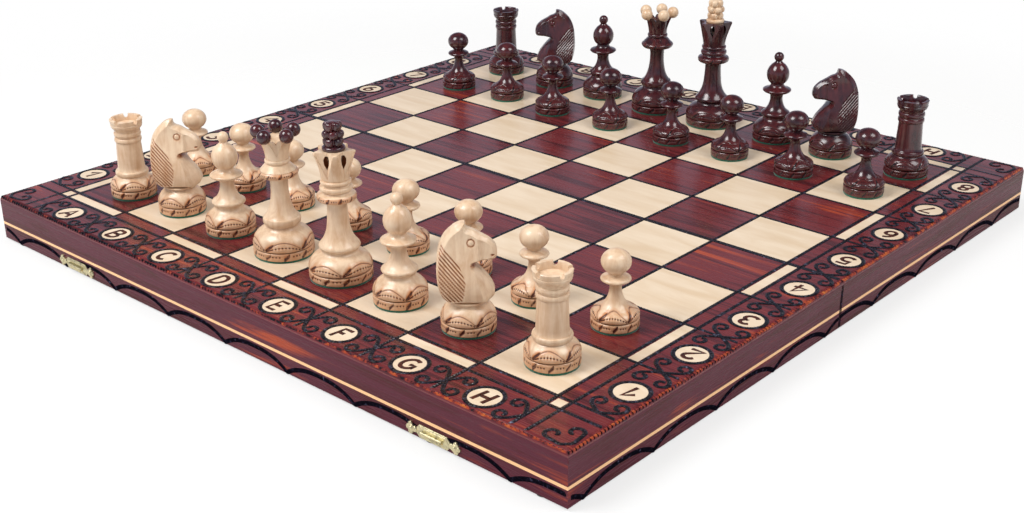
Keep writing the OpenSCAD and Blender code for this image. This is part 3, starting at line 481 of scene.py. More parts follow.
def felt_cloth(name, tone, fibre):
    """Felt or flock."""
    material, tree = new_material(name)
    vector = places(tree)[0]
    lint = clouds(tree, vector, fibre, 4.0, 0.8)
    pile = clouds(tree, vector, fibre * 0.15, 2.0)
    light = tuple(min(1.0, c * 1.7 + 0.01) for c in tone)
    colour = tones(tree, calc(tree, "MULTIPLY_ADD", pile, 0.4, calc(tree, "MULTIPLY", lint, 0.6)),
                   (0.35, tuple(c * 0.6 for c in tone)), (0.7, light))
    surface(tree, colour, 0.95, lint, 0.0003, Sheen_Weight=0.35, Sheen_Roughness=0.5)
    return material


def brass_metal(name, tone, roughness):
    """Brass with faint scratches and spots of tarnish."""
    material, tree = new_material(name)
    vector = places(tree)[0]
    tarnish = clouds(tree, vector, 380.0, 4.0, 0.7)
    scratch = clouds(tree, stretched(tree, vector, (300.0, 300.0, 2400.0)), 1.0, 2.0)
    dull = tuple(c * 0.45 for c in tone)
    colour = tones(tree, tarnish, (0.30, dull), (0.52, tone))
    surface(tree, colour, spread(tree, scratch, 0.3, 0.7, roughness, roughness + 0.18), scratch, 0.00003,
            Metallic=1.0)
    return material


MATERIALS = {}


def square_side(ornament):
    """Side of one square, from line to line."""
    low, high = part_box("near_light_squares")
    return (high.x - low.x + ornament.line_w) / len(FILES)


def field_reach(ornament):
    """Distance from the middle of the board to the edge of its field."""
    return square_side(ornament) * len(FILES) / 2


def make_materials(scene):
    """Every finish, by the name of what it covers."""
    if MATERIALS:
        return
    woods, ornament = scene.chess_woods, scene.chess_ornament
    MATERIALS.update({
        "board": stained("stained_board", "X", woods, ornament, woods.stain_mid, board=True),
        "wall_x": stained("stained_wall_along_x", "X", woods, ornament, woods.wall_mid),
        "wall_y": stained("stained_wall_along_y", "Y", woods, ornament, woods.wall_mid),
        "squares": maple("maple_squares", woods, ornament, False),
        "inlays": maple("maple_inlays", woods, ornament, True),
        "burnt": burnt_wood("burnt_wood", woods, 0.5),
        "dull_burnt": burnt_wood("dull_burnt_wood", woods, 0.0),
        "rope": rope_wood("notched_edge", woods),
        "letter": letter_wood("burnt_letter"),
        "light_man": man_wood("boxwood", woods.boxwood, woods.boxwood_shade, woods.scorch,
                              woods.scorch_core, 0.30, 0.25),
        "dark_man": man_wood("rosewood_stain", woods.rosewood, woods.rosewood_light,
                             srgb(98, 40, 36), srgb(20, 8, 12), 0.18, 0.5),
        "felt": felt_cloth("green_felt", woods.felt, 900.0),
        "flock": felt_cloth("green_flock", woods.flock, 1400.0),
        "brass": brass_metal("brass", woods.brass, 0.22),
        "casting": brass_metal("cast_brass", woods.casting, 0.30),
    })


# ---- Meshes ----


class Shape:
    """Corners, faces, carving map and material numbers of one piece, in mm."""

    def __init__(self):
        self.corners, self.faces, self.maps, self.slots, self.burns = [], [], [], [], []

    def add(self, corners, faces, maps=None, slot=0, burns=None):
        """Adds faces. maps gives each face's own map points; the last argument gives each corner's value in
        the burn attribute, which holds burns and painted shade.
        """
        start = len(self.corners)
        self.corners.extend(corners)
        self.burns.extend(burns if burns is not None else [0.0] * len(corners))
        for k, face in enumerate(faces):
            self.faces.append([start + c for c in face])
            self.maps.append(maps[k] if maps is not None else [(0.25, 0.9)] * len(face))
            self.slots.append(slot)

    def mesh(self, name, place=None):
        """The shape as a mesh in metres, smooth but for its sharp edges."""
        made = bpy.data.meshes.new(name)
        made.from_pydata([tuple(c * MM for c in corner) for corner in self.corners], [], self.faces)
        layer = made.uv_layers.new(name=CARVING)
        flat = [value for points in self.maps for point in points for value in point]
        layer.data.foreach_set("uv", flat)
        burns = [self.burns[c] for face in self.faces for c in face]
        made.attributes.new(BURN_AND_SHADE, "FLOAT", "CORNER").data.foreach_set("value", burns)
        made.polygons.foreach_set("material_index", self.slots)
        made.polygons.foreach_set("use_smooth", [True] * len(self.faces))
        if place is not None:
            made.transform(place)
        made.update()
        return made


def finish_mesh(made, sharp=38.0):
    """Marks the edges that are sharper than an angle."""
    made.set_sharp_from_angle(angle=math.radians(sharp))
    made.validate()


def new_piece(name, mesh, body, slot, materials, replaced=()):
    """Object of a finished piece that rides on a body."""
    for material in materials:
        mesh.materials.append(material)
    piece = bpy.data.objects.new(name, mesh)
    bpy.context.scene.collection.objects.link(piece)
    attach(piece, body)
    if replaced:
        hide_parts(*replaced)
    return piece


def discard(obj):
    """Removes an object and its mesh."""
    mesh = obj.data
    bpy.data.objects.remove(obj)
    bpy.data.meshes.remove(mesh)


def evaluated_mesh(obj):
    """Plain mesh of an object with its modifiers, which is then removed."""
    bpy.context.view_layer.update()
    graph = bpy.context.evaluated_depsgraph_get()
    mesh = bpy.data.meshes.new_from_object(obj.evaluated_get(graph), preserve_all_data_layers=True,
                                           depsgraph=graph)
    discard(obj)
    return mesh


def smooth_path(points, steps):
    """Points of a smooth open curve through the given ones, with steps between each two."""
    p = np.array(points, float)
    p = np.vstack([2 * p[0] - p[1], p, 2 * p[-1] - p[-2]])
    t = np.linspace(0, 1, steps, endpoint=False)[:, None]
    out = []
    for k in range(1, len(p) - 2):
        a, b, c, d = p[k - 1:k + 3]
        out.append(0.5 * (2 * b + (c - a) * t + (2 * a - 5 * b + 4 * c - d) * t ** 2
                          + (3 * b - a - 3 * c + d) * t ** 3))
    return np.vstack(out + [p[-2:-1]])


# ---- Turned men. A man's shape stands on z = 0, in mm ----

POINTS = 5
FELT_T = 1.2
FOOT_GROOVE_Z = 6.9
SHOULDER_Z = 9.4
ARCH_FOOT = 8.0
ARCH_RISE = 5.6
ARCH_DOTS = 11
WAVE_LOW, WAVE_HIGH, WAVE_PEAK = 2.2, 5.6, 0.34
CARVED_TOP = 15.0
PLAIN = 90.0


class Turning:
    """Outline of a turned piece, as (radius, height) from its foot up."""

    def __init__(self, radius, height):
        self.points = [(radius, height)]

    def to(self, *points):
        """Straight to each point."""
        self.points.extend(points)
        return self

    def bend(self, pull, end, steps=9):
        """Curve to a point, pulled towards another."""
        start = self.points[-1]
        for k in range(1, steps + 1):
            t = k / steps
            self.points.append(tuple((1 - t) ** 2 * s + 2 * t * (1 - t) * p + t * t * e
                                     for s, p, e in zip(start, pull, end)))
        return self

    def bead(self, radius, half, stem, steps=9):
        """Round bead that stands out to a radius, then back in to the stem."""
        start_r, low = self.points[-1]
        for k in range(1, 2 * steps + 1):
            angle = math.pi * k / (2 * steps)
            inner = start_r if angle < math.pi / 2 else stem
            self.points.append((inner + (radius - inner) * math.sin(angle) ** 0.8,
                                low + half * (1 - math.cos(angle))))
        return self

    def ball(self, radius, height, squash=1.0, steps=26):
        """Ball over the present point, closed at its top."""
        start = math.asin(min(1.0, self.points[-1][0] / radius)) - math.pi / 2
        for k in range(1, steps):
            angle = start + (math.pi / 2 - start) * k / steps
            self.points.append((radius * math.cos(angle), height + squash * radius * math.sin(angle)))
        self.points.append((0.0, height + squash * radius))
        return self


def foot_line(foot_r):
    """Seat on the felt, carved band, groove and shoulder, which every man has."""
    line = Turning(0.0, FELT_T).to((foot_r - 0.9, FELT_T)).bend((foot_r, FELT_T), (foot_r, FELT_T + 0.9), 4)
    line.to((foot_r, FOOT_GROOVE_Z - 1.1)).bend((foot_r - 0.2, FOOT_GROOVE_Z - 0.4),
                                                (foot_r - 1.4, FOOT_GROOVE_Z), 4)
    line.bend((foot_r - 0.3, FOOT_GROOVE_Z + 0.2), (foot_r, FOOT_GROOVE_Z + 1.0), 4)
    return line.to((foot_r, SHOULDER_Z))


def refined(points, low=1.6, high=CARVED_TOP, step=0.5):
    """Outline with no long stretch between two heights, so that carving shows in it."""
    out = [points[0]]
    for (r0, z0), (r1, z1) in zip(points, points[1:]):
        parts = 1
        if max(z0, z1) > low and min(z0, z1) < high:
            parts = max(1, math.ceil(math.hypot(r1 - r0, z1 - z0) / step))
        out.extend((r0 + (r1 - r0) * k / parts, z0 + (z1 - z0) * k / parts) for k in range(1, parts + 1))
    return out


def turned(shape, points, men, slot=0, carve=True, collar=None, lobes=None, steps=None):
    """Adds a piece that is turned from an outline. collar = (low, high, least radius) also gets the
    band's burnt waves, and lobes(angle, height) scales the radius."""
    rings = np.array(refined(points) if carve else points, float)
    steps = steps or men.steps
    turn = np.arange(steps + 1) / steps
    radius = np.repeat(rings[:, :1], steps, axis=1)
    height = np.repeat(rings[:, 1:2], steps, axis=1)
    if carve:
        depth = ramp(pressed(turn[None, :steps] * POINTS, height), 0.3, 0.8) * (radius > 6)
        depth[height > CARVED_TOP] = 0
        radius = radius - depth * men.carve / MM
    if lobes is not None:
        radius = radius * lobes(turn[None, :steps] * 2 * math.pi, height)
    pattern = np.where(rings[:, 1] < CARVED_TOP + 2, rings[:, 1], PLAIN) if carve else rings[:, 1] * 0 + PLAIN
    if collar is not None:
        low, high, least = collar
        on = (rings[:, 1] >= low) & (rings[:, 1] <= high) & (rings[:, 0] >= least)
        pattern = np.where(on, WAVE_LOW - 0.3 + (rings[:, 1] - low) / (high - low) * 4.2, pattern)
    corners, faces, maps = [], [], []
    x = radius * np.cos(turn[:steps] * 2 * math.pi)
    y = radius * np.sin(turn[:steps] * 2 * math.pi)
    first = 1 if rings[0, 0] < 1e-6 else 0
    last = len(rings) - 1 if rings[-1, 0] < 1e-6 else len(rings)
    if first:
        corners.append((0.0, 0.0, rings[0, 1]))
    for k in range(first, last):
        corners.extend(zip(x[k], y[k], height[k]))
    if last < len(rings):
        corners.append((0.0, 0.0, rings[-1, 1]))
    us = turn * POINTS
    for k in range(first, last - 1):
        a = first + (k - first) * steps
        b = a + steps
        v0, v1 = pattern[k] * 0.01, pattern[k + 1] * 0.01
        for j in range(steps):
            n = (j + 1) % steps
            faces.append((a + j, a + n, b + n, b + j))
            maps.append(((us[j], v0), (us[j + 1], v0), (us[j + 1], v1), (us[j], v1)))
    ends = []
    if first:
        ends.append((0, first, True))
    if last < len(rings):
        ends.append((len(corners) - 1, first + (last - 1 - first) * steps, False))
    for pole, ring, under in ends:
        for j in range(steps):
            n = (j + 1) % steps
            faces.append((pole, ring + n, ring + j) if under else (pole, ring + j, ring + n))
            maps.append(((us[j], PLAIN * 0.01),) * 3)
    shape.add(corners, faces, maps, slot)


def felt_disc(shape, men, foot_r):
    """Felt under a man, a little proud of the wood."""
    edge = foot_r - 0.25
    line = Turning(0.0, 0.0).to((edge - 0.2, 0.0)).bend((edge + 0.1, FELT_T / 2), (edge - 0.1, FELT_T), 5)
    turned(shape, line.to((0.0, FELT_T)).points, men, slot=1, carve=False)


def prism(outer, inner):
    """Corners and faces of a solid between two outlines with as many points, in mm."""
    n = len(outer)
    faces = [tuple(range(n)), tuple(reversed(range(n, 2 * n)))]
    faces += [(k, k + n, (k + 1) % n + n, (k + 1) % n) for k in range(n)]
    return list(outer) + list(inner), faces


def cut_away(shape, name, *groups):
    """Shape as a mesh, with groups of cutters taken out of it in turn. A group's cutters are apart."""
    scene = bpy.context.scene
    block = bpy.data.objects.new(name, shape.mesh(name))
    scene.collection.objects.link(block)
    knives = []
    for group in groups:
        knife_shape = Shape()
        for corners, faces, burn_and_shade in group:
            knife_shape.add(corners, faces, burns=[burn_and_shade] * len(corners))
        knife = bpy.data.objects.new(name + "_knife", knife_shape.mesh(name + "_knife"))
        scene.collection.objects.link(knife)
        make_outward(knife.data)
        modifier = block.modifiers.new("cut", "BOOLEAN")
        modifier.operation = "DIFFERENCE"
        modifier.solver = "EXACT"
        modifier.object = knife
        knives.append(knife)
    mesh = evaluated_mesh(block)
    for knife in knives:
        discard(knife)
    return mesh


def make_outward(mesh):
    """Turns every face of a closed mesh outwards."""
    work = bmesh.new()
    work.from_mesh(mesh)
    bmesh.ops.recalc_face_normals(work, faces=work.faces)
    work.to_mesh(mesh)
    work.free()


def joined(name, *meshes):
    """One mesh from several, which are then removed."""
    work = bmesh.new()
    for mesh in meshes:
        work.from_mesh(mesh)
    out = bpy.data.meshes.new(name)
    work.to_mesh(out)
    work.free()
    for mesh in meshes:
        bpy.data.meshes.remove(mesh)
    return out


def pawn_mesh(men, foot_r, height):
    """Pawn: a flattened ball on a thin collar over a hollow cone."""
    shape = Shape()
    felt_disc(shape, men, foot_r)
    ball_r, ball_half = 9.0, 7.5
    line = foot_line(foot_r).bend((foot_r - 0.8, 11.6), (foot_r - 4.3, 12.7), 8)
    line.to((foot_r - 4.8, 13.2)).bend((4.4, 16.2), (3.5, 25.0), 12).bend((3.5, 27.8), (5.4, 28.5), 5)
    line.bend((8.6, 29.4), (9.1, 30.6), 7).bend((9.1, 31.6), (7.6, 32.2), 5).bend((5.0, 32.8), (4.2, 33.8), 5)
    line.ball(ball_r, height - ball_half, ball_half / ball_r)
    turned(shape, line.points, men)
    return shape.mesh("pawn")


def radial_cut(turn, outer_r, outline, burn_and_shade=0.0):
    """Cutter into the side of a man at an angle. The outline's points are (across, height, inner
    radius), and its sides run straight out to the outer radius. The last value is what the cut's faces
    take in the burn attribute; above 0 it paints shade into the hollow."""
    spin = Matrix.Rotation(turn, 4, "Z")
    corners, faces = prism([(outer_r, y, z) for y, z, _ in outline], [(r, y, z) for y, z, r in outline])
    return [tuple(spin @ Vector(c)) for c in corners], faces, burn_and_shade


def rook_mesh(men, foot_r, height):
    """Rook: a tapering tower with two rings and a notched battlement."""
    shape, tower = Shape(), Shape()
    felt_disc(shape, men, foot_r)
    line = foot_line(foot_r).bend((foot_r - 1.0, 12.6), (11.8, 14.8), 9).bend((10.8, 15.3), (10.8, 16.0), 3)
    line.bead(11.7, 1.8, 10.4).bend((9.6, 20.6), (9.5, 23.0), 5).to((8.75, 41.0))
    line.bead(9.6, 1.7, 8.5, 6).to((8.5, 45.2)).bead(9.6, 1.7, 8.8, 6).to((8.9, 49.2))
    line.bend((9.2, 50.6), (10.3, 51.4), 5).bend((11.0, 52.2), (11.2, 54.0), 5)
    line.to((11.0, 54.3), (11.1, 54.6), (11.6, height - 0.3), (11.3, height), (9.4, height))
    line.to((9.0, height - 0.5), (8.4, height - 4.4), (0.0, height - 4.9))
    turned(tower, line.points, men)
    notch = [(-1.4, height - 1.6, 6.5), (-0.7, height - 2.7, 6.5), (0.7, height - 2.7, 6.5),
             (1.4, height - 1.6, 6.5), (1.7, height + 1, 6.5), (-1.7, height + 1, 6.5)]
    cuts = [radial_cut(2 * math.pi * k / POINTS, 13.5, notch) for k in range(POINTS)]
    return joined("rook", shape.mesh("rook_felt"), cut_away(tower, "rook_tower", cuts))


def bishop_mesh(men, foot_r, height):
    """Bishop: a pointed head on a flared collar."""
    shape = Shape()
    felt_disc(shape, men, foot_r)
    ball_r = 3.8
    line = foot_line(foot_r).bend((foot_r - 0.8, 13.4), (11.4, 16.2), 10).bend((9.4, 17.6), (9.5, 19.0), 5)
    line.bend((9.6, 20.4), (11.0, 21.0), 4).bend((11.9, 22.0), (10.7, 23.2), 6)
    line.bend((6.0, 25.6), (4.9, 33.0), 12).bend((4.6, 36.6), (5.8, 37.8), 6)
    line.bend((6.6, 38.4), (9.0, 39.0), 5).bend((11.1, 39.8), (11.2, 40.9), 6)
    line.bend((11.0, 41.8), (9.4, 42.2), 5).bend((6.2, 42.8), (5.2, 45.0), 6)
    line.to((5.1, 46.0)).bend((8.7, 48.6), (8.8, 53.4), 10).bend((8.9, 57.6), (5.2, 61.4), 9)
    line.bend((3.2, 62.8), (2.5, 63.9), 5).ball(ball_r, height - ball_r)
    turned(shape, line.points, men)
    return shape.mesh("bishop")


def queen_mesh(men, foot_r, height):
    """Queen: a notched crown with a ball of the other wood on each of its points."""
    shape, crown = Shape(), Shape()
    felt_disc(shape, men, foot_r)
    line = foot_line(foot_r).bend((foot_r - 0.6, 14.4), (14.2, 17.6), 10).bend((10.8, 19.0), (10.8, 21.2), 5)
    line.bead(12.4, 2.6, 11.2).bend((6.6, 31.0), (5.8, 44.0), 14).bend((5.6, 51.5), (6.4, 53.2), 6)
    line.to((11.6, 54.4)).bend((12.9, 55.4), (13.15, 56.8), 5).bend((13.0, 57.8), (12.0, 58.3), 4)
    line.to((8.4, 62.2)).bend((7.2, 62.6), (7.2, 63.2), 3).bead(8.3, 1.3, 7.3, 5).to((7.5, 66.4))
    line.bend((7.8, 73.2), (11.6, 80.2), 10).to((11.3, 80.8), (9.8, 80.9), (8.9, 79.8), (0.0, 74.2))
    turned(crown, line.points, men, collar=(54.6, 58.3, 11.0))
    reach = math.tan(math.pi / POINTS)
    notch = [(0.0, 69.0, 7.4), (7.7, 82.5, 8.4), (-7.7, 82.5, 8.4)]
    notch = [(y if abs(y) < r * reach else math.copysign(r * reach - 0.05, y), z, r) for y, z, r in notch]
    gap = [(0.0, 76.6, 4.2), (3.4, 82.5, 4.2), (-3.4, 82.5, 4.2)]
    turns = [2 * math.pi * (k + 0.5) / POINTS for k in range(POINTS)]
    cuts = [radial_cut(turn, 16.0, notch) for turn in turns]
    # The slits' walls take 0.1 in the burn attribute: painted shade inside the crown.
    gaps = [radial_cut(turn, 10.0, gap, 0.1) for turn in turns]
    base = joined("queen", shape.mesh("queen_felt"), cut_away(crown, "queen_crown", cuts, gaps))
    ball_r, ring_r = 4.7, 12.0
    one, balls = Shape(), Shape()
    turned(one, Turning(0.0, -ball_r).ball(ball_r, 0.0, 1.0, 16).points, men, carve=False, steps=32)
    for k in range(POINTS):
        turn = 2 * math.pi * k / POINTS
        x, y, z = ring_r * math.cos(turn), ring_r * math.sin(turn), height - ball_r
        balls.add([(a + x, b + y, c + z) for a, b, c in one.corners], one.faces, one.maps, 2)
    return joined("queen", base, balls.mesh("queen_balls"))


def king_mesh(men, foot_r, height):
    """King: a wide crown with pierced hollows and a notched finial of the other wood."""
    shape, crown = Shape(), Shape()
    felt_disc(shape, men, foot_r)
    line = foot_line(foot_r).bend((foot_r - 0.6, 14.2), (14.4, 16.8), 10).bend((11.2, 18.0), (11.4, 19.6), 5)
    line.bend((11.6, 20.4), (12.8, 20.9), 4).bend((13.8, 22.2), (12.4, 23.8), 6)
    line.bend((7.6, 28.8), (7.0, 38.0), 12).bend((6.2, 47.0), (6.4, 50.4), 8)
    line.bend((6.8, 51.8), (10.4, 52.3), 5).bend((12.4, 53.0), (12.5, 54.2), 4)
    line.to((12.5, 55.6)).bend((12.2, 56.8), (10.8, 57.0), 4)
    line.bend((8.8, 57.4), (8.8, 58.8), 4).bead(10.4, 1.7, 9.0, 6).to((8.5, 63.4)).bead(9.8, 1.3, 8.5, 5)
    rim = 85.0
    line.to((8.8, 66.8)).bend((9.4, 74.0), (13.5, rim - 1.0), 12).to((13.3, rim - 0.2), (12.8, rim))
    line.to((7.0, rim), (6.4, rim - 0.4), (6.0, rim - 7.0), (0.0, rim - 9.0))
    turned(crown, line.points, men, collar=(52.6, 56.6, 11.6))
    drop = [(0.0, 74.0, 6.0), (1.7, 77.6, 6.0), (2.1, 80.6, 6.0), (1.1, 82.9, 6.0), (-1.1, 82.9, 6.0),
            (-2.1, 80.6, 6.0), (-1.7, 77.6, 6.0)]
    turns = [2 * math.pi * (k + 0.5) / POINTS for k in range(POINTS)]
    facets = []
    for side in (-1, 1):
        facet = [(-side * 0.2, 67.8, 8.7), (side * 7.6, rim + 1.5, 11.2), (-side * 0.2, rim + 1.5, 7.7)]
        facets.append([radial_cut(turn, 17.0, facet) for turn in turns])
    # The drops' walls take 0.8 in the burn attribute: painted shade inside the pierced hollows.
    drops = [radial_cut(turn, 16.0, drop, 0.8) for turn in turns]
    base = joined("king", shape.mesh("king_felt"), cut_away(crown, "king_crown", *facets, drops))
    finial = Shape()

    def notched(angle, z):
        """Lobes of the finial, turned half a lobe from one tier to the next."""
        tier = np.floor((z - rim - 3.0) / 4.9)
        lobe = 0.5 + 0.5 * np.cos(POINTS * angle + np.pi * tier)
        return np.where(z > rim + 3.0, 1 - 0.30 * lobe ** 3, 1.0)

    top = Turning(0.0, rim - 0.2).to((6.8, rim - 0.2)).bend((7.4, rim + 0.7), (7.1, rim + 1.9), 5)
    top.bend((6.8, rim + 2.6), (5.2, rim + 2.9), 4)
    for tier, r in enumerate((6.5, 6.9, 5.9)):
        low = rim + 3.0 + 4.9 * tier
        top.bend((r * 0.98, low + 0.2), (r, low + 1.6), 5).bend((r * 1.05, low + 4.3), (4.9, low + 4.7), 6)
    top.to((2.2, height - 0.3), (0.0, height))
    turned(finial, top.points, men, slot=2, carve=False, lobes=notched)
    return joined("king", base, finial.mesh("king_finial"))


# ---- Knight ----

# Rows of the horse from its base up: (back, height), (front, height), forward of the axis, in mm
HORSE_ROWS = [
    ((-10.5, 20.0), (10.8, 20.0)), ((-12.4, 20.8), (13.0, 21.0)), ((-14.6, 22.8), (14.8, 22.4)),
    ((-16.0, 25.6), (15.6, 24.4)), ((-17.2, 30.6), (14.8, 27.4)), ((-17.7, 35.6), (13.0, 31.0)),
    ((-17.8, 39.6), (10.6, 34.4)), ((-17.7, 42.2), (7.4, 38.2)), ((-17.6, 43.8), (4.6, 41.3)),
    ((-17.5, 45.0), (3.5, 42.9)), ((-17.4, 46.2), (5.6, 44.1)), ((-17.3, 47.4), (10.5, 44.7)),
    ((-17.2, 48.6), (15.2, 45.2)), ((-17.0, 50.0), (17.0, 47.2)), ((-16.6, 51.8), (17.0, 50.4)),
    ((-16.0, 54.0), (15.9, 53.6)), ((-14.8, 57.0), (13.0, 56.8)), ((-13.2, 59.8), (9.6, 58.8)),
    ((-11.2, 62.2), (6.6, 60.4)), ((-9.2, 64.0), (3.8, 62.2)), ((-7.4, 65.5), (0.6, 63.4)),
    ((-5.4, 66.6), (-0.7, 64.6)), ((-3.6, 67.3), (-1.0, 66.0)), ((-2.2, 67.5), (-1.2, 67.3)),
]
# Half thickness of the horse at heights above the board, in mm
HORSE_HALF = [(20.0, 11.0), (24.7, 13.0), (31.9, 12.0), (46.0, 7.4), (56.0, 6.8), (67.5, 5.6)]
MANE_TOP, MANE_STEP, MANE_COUNT = 24.6, 1.70, 14
# Where the mane's grooves end towards the front, as (height, forward)
MANE_END = [(22.0, -2.8), (27.0, -1.4), (33.0, -0.6), (38.0, -1.8), (44.0, -4.6), (50.0, -9.0)]
EYE, EYE_R = (2.3, 56.2), 2.1
NOSTRIL = (14.6, 48.4)
THROAT = (4.6, 43.0)
CHEEK_S = 6.6


def outline_distance(px, pz, outline):
    """Distance of each point from a closed outline, and the outline's nearest stretch."""
    best = np.full(px.shape, 1e9)
    nearest = np.zeros(px.shape, int)
    ends = np.roll(outline, -1, axis=0)
    for k, ((ax, az), (bx, bz)) in enumerate(zip(outline, ends)):
        length = max((bx - ax) ** 2 + (bz - az) ** 2, 1e-9)
        t = np.clip(((px - ax) * (bx - ax) + (pz - az) * (bz - az)) / length, 0, 1)
        far = np.hypot(px - ax - t * (bx - ax), pz - az - t * (bz - az))
        nearest = np.where(far < best, k, nearest)
        best = np.minimum(best, far)
    return best, nearest


def horse(shape):
    """Adds the horse's head and chest: two carved sides that meet along a chamfered outline."""
    back = smooth_path([row[0] for row in HORSE_ROWS], 5)
    front = smooth_path([row[1] for row in HORSE_ROWS], 5)
    rows, columns = len(back), 84
    u = 0.5 - 0.5 * np.cos(np.linspace(0, np.pi, columns))
    u = 0.5 * u + 0.5 * np.linspace(0, 1, columns)
    s = back[:, :1] + (front[:, :1] - back[:, :1]) * u
    z = back[:, 1:] + (front[:, 1:] - back[:, 1:]) * u
    outline = np.vstack([back, front[::-1]])
    d, nearest = outline_distance(s, z, outline)
    on_back = nearest < rows
    height = outline[nearest][..., 1]
    chamfer = np.where(on_back, np.where(height > 50, 3.4, 1.6), 1.8)
    smooth = np.polynomial.Polynomial.fit(*zip(*HORSE_HALF), 3)
    thick = smooth(z)
    over = np.clip((z - THROAT[1]) / 1.5, 0, 1)
    cheek = np.clip((s - CHEEK_S) / 1.6, 0, 1) * over * np.clip((60 - z) / 4, 0, 1)
    nose = np.clip((s - CHEEK_S - 2) / 9, 0, 1) * over
    thick = thick * (1 - 0.20 * cheek - 0.20 * nose)
    edge = np.where(on_back & (height > 50), 0.38, 0.5)
    y = thick * (edge + (1 - edge) * np.clip(d / chamfer, 0, 1))
    under = front[:, 1] < THROAT[1]
    chest_s = 3.0 + 0.34 * (THROAT[1] - z)
    front_s = np.interp(z, front[under, 1], front[under, 0])
    bevel = np.clip((s - chest_s) / np.maximum(front_s - chest_s, 1.0), 0, 1)
    y = np.minimum(y, thick * (1 - 0.66 * bevel * np.clip((THROAT[1] - z) / 1.5, 0, 1)))
    base_r = np.interp(z, [20.0, 24.0, 30.0], [13.6, 17.4, 20.0])
    y = np.minimum(y, np.sqrt(np.maximum(base_r ** 2 - s ** 2, 0.8)))
    q = 0.75 * s + 0.66 * z
    groove = np.zeros_like(s)
    for k in range(MANE_COUNT):
        off = np.abs(q - MANE_TOP + k * MANE_STEP)
        groove = np.maximum(groove, np.clip(1 - off / 0.58, 0, 1))
    groove = groove * np.clip((np.interp(z, *zip(*MANE_END)) - s) / 0.6, 0, 1)
    groove = groove * np.clip((d - 0.9) / 0.4, 0, 1) * (z > 22.0)
    to_eye = np.hypot(s - EYE[0], z - EYE[1])
    ring = np.clip(1 - np.abs(to_eye - EYE_R) / 0.55, 0, 1)
    pupil = np.clip(1 - to_eye / (EYE_R - 0.5), 0, 1)
    slit = np.clip(1 - np.hypot((s - NOSTRIL[0]) / 1.4, (z - NOSTRIL[1]) / 0.6), 0, 1)
    y = y - (0.75 * groove + 0.6 * ring + 0.9 * slit - 0.35 * np.sqrt(pupil))
    # Painted shade under the jaw, at the throat's notch, held in the burn attribute like a burn.
    throat_shade = np.clip(1.3 - np.hypot((s - THROAT[0]) / 2.2, (z - THROAT[1]) / 1.6), 0, 1)
    burn_and_shade = np.clip(np.maximum.reduce([0.62 * groove, 0.5 * ring, 1.2 * slit, 0.8 * throat_shade]), 0, 1)
    corners, faces = [], []
    for side in (-1, 1):
        corners.extend(zip(s.ravel(), (side * y).ravel(), z.ravel()))
    count = rows * columns
    for r in range(rows - 1):
        for c in range(columns - 1):
            a, b = r * columns + c, (r + 1) * columns + c
            faces.append((a, a + 1, b + 1, b))
            faces.append((count + a, count + b, count + b + 1, count + a + 1))
        for c, flip in ((0, False), (columns - 1, True)):
            a, b = r * columns + c, (r + 1) * columns + c
            strip = (a, b, count + b, count + a)
            faces.append(strip[::-1] if flip else strip)
    for r, flip in ((0, True), (rows - 1, False)):
        for c in range(columns - 1):
            a = r * columns + c
            strip = (a, a + 1, count + a + 1, count + a)
            faces.append(strip[::-1] if flip else strip)
    shape.add(corners, faces, burns=list(burn_and_shade.ravel()) * 2)


def knight_mesh(men, foot_r, _):
    """Knight: a carved horse's head, whose rows give its height, on a turned foot."""
    shape = Shape()
    felt_disc(shape, men, foot_r)
    line = foot_line(foot_r).bend((foot_r - 0.8, 13.4), (11.8, 16.6), 9).bend((10.4, 17.4), (10.4, 18.3), 3)
    line.bend((10.7, 18.9), (11.7, 19.2), 3).bend((12.2, 19.8), (11.7, 20.4), 4).to((0.0, 20.9))
    turned(shape, line.points, men)
    horse(shape)
    return shape.mesh("knight")


MAKERS = {"pawn": pawn_mesh, "rook": rook_mesh, "knight": knight_mesh, "bishop": bishop_mesh,
          "queen": queen_mesh, "king": king_mesh}


# Angles, in degrees, at which the men stand whose crowns show how they are turned
STANDS = {"light_queen_d1": -4, "dark_queen_d8": 40, "light_king_e1": -38, "dark_king_e8": -32,
          "light_rook_h1": 50}


def foot_of(name):
    """Centre, height and radius of the foot of a man's node."""
    low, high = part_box(name)
    corners = [v.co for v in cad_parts[name].data.vertices if v.co.z < low.z + 0.4 * MM]
    xs, ys = [c.x for c in corners], [c.y for c in corners]
    centre = Vector(((min(xs) + max(xs)) / 2, (min(ys) + max(ys)) / 2, low.z))
    return centre, (high.z - low.z) / MM, (max(xs) - min(xs)) / 2 / MM


def make_men(scene, kind):
    """Every man of a kind, each standing for its node."""
    men = scene.chess_men
    names = sorted(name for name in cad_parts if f"_{kind}_" in name)
    if not names:
        raise RuntimeError(f"the frame has no {kind}")
    _, height, felt_r = foot_of(names[0])
    model = MAKERS[kind](men, felt_r + 0.6, height)
    for index, name in enumerate(names):
        light = name.startswith("light")
        centre, _, _ = foot_of(name)
        turn = math.radians(STANDS.get(name, 37.0 * index))
        if kind == "knight":
            turn = men.knight_turn + (0.0 if light else math.pi)
        mesh = model.copy()
        mesh.name = "carved_" + name
        mesh.transform(Matrix.Translation(centre) @ Matrix.Rotation(turn, 4, "Z"))
        finish_mesh(mesh)
        own, other = ("light_man", "dark_man") if light else ("dark_man", "light_man")
        materials = [MATERIALS[own], MATERIALS["felt"], MATERIALS[other]]
        new_piece("carved_" + name, mesh, name, own + "_wood", materials, [name])
    bpy.data.meshes.remove(model)


# ---- Burnt ornament ----


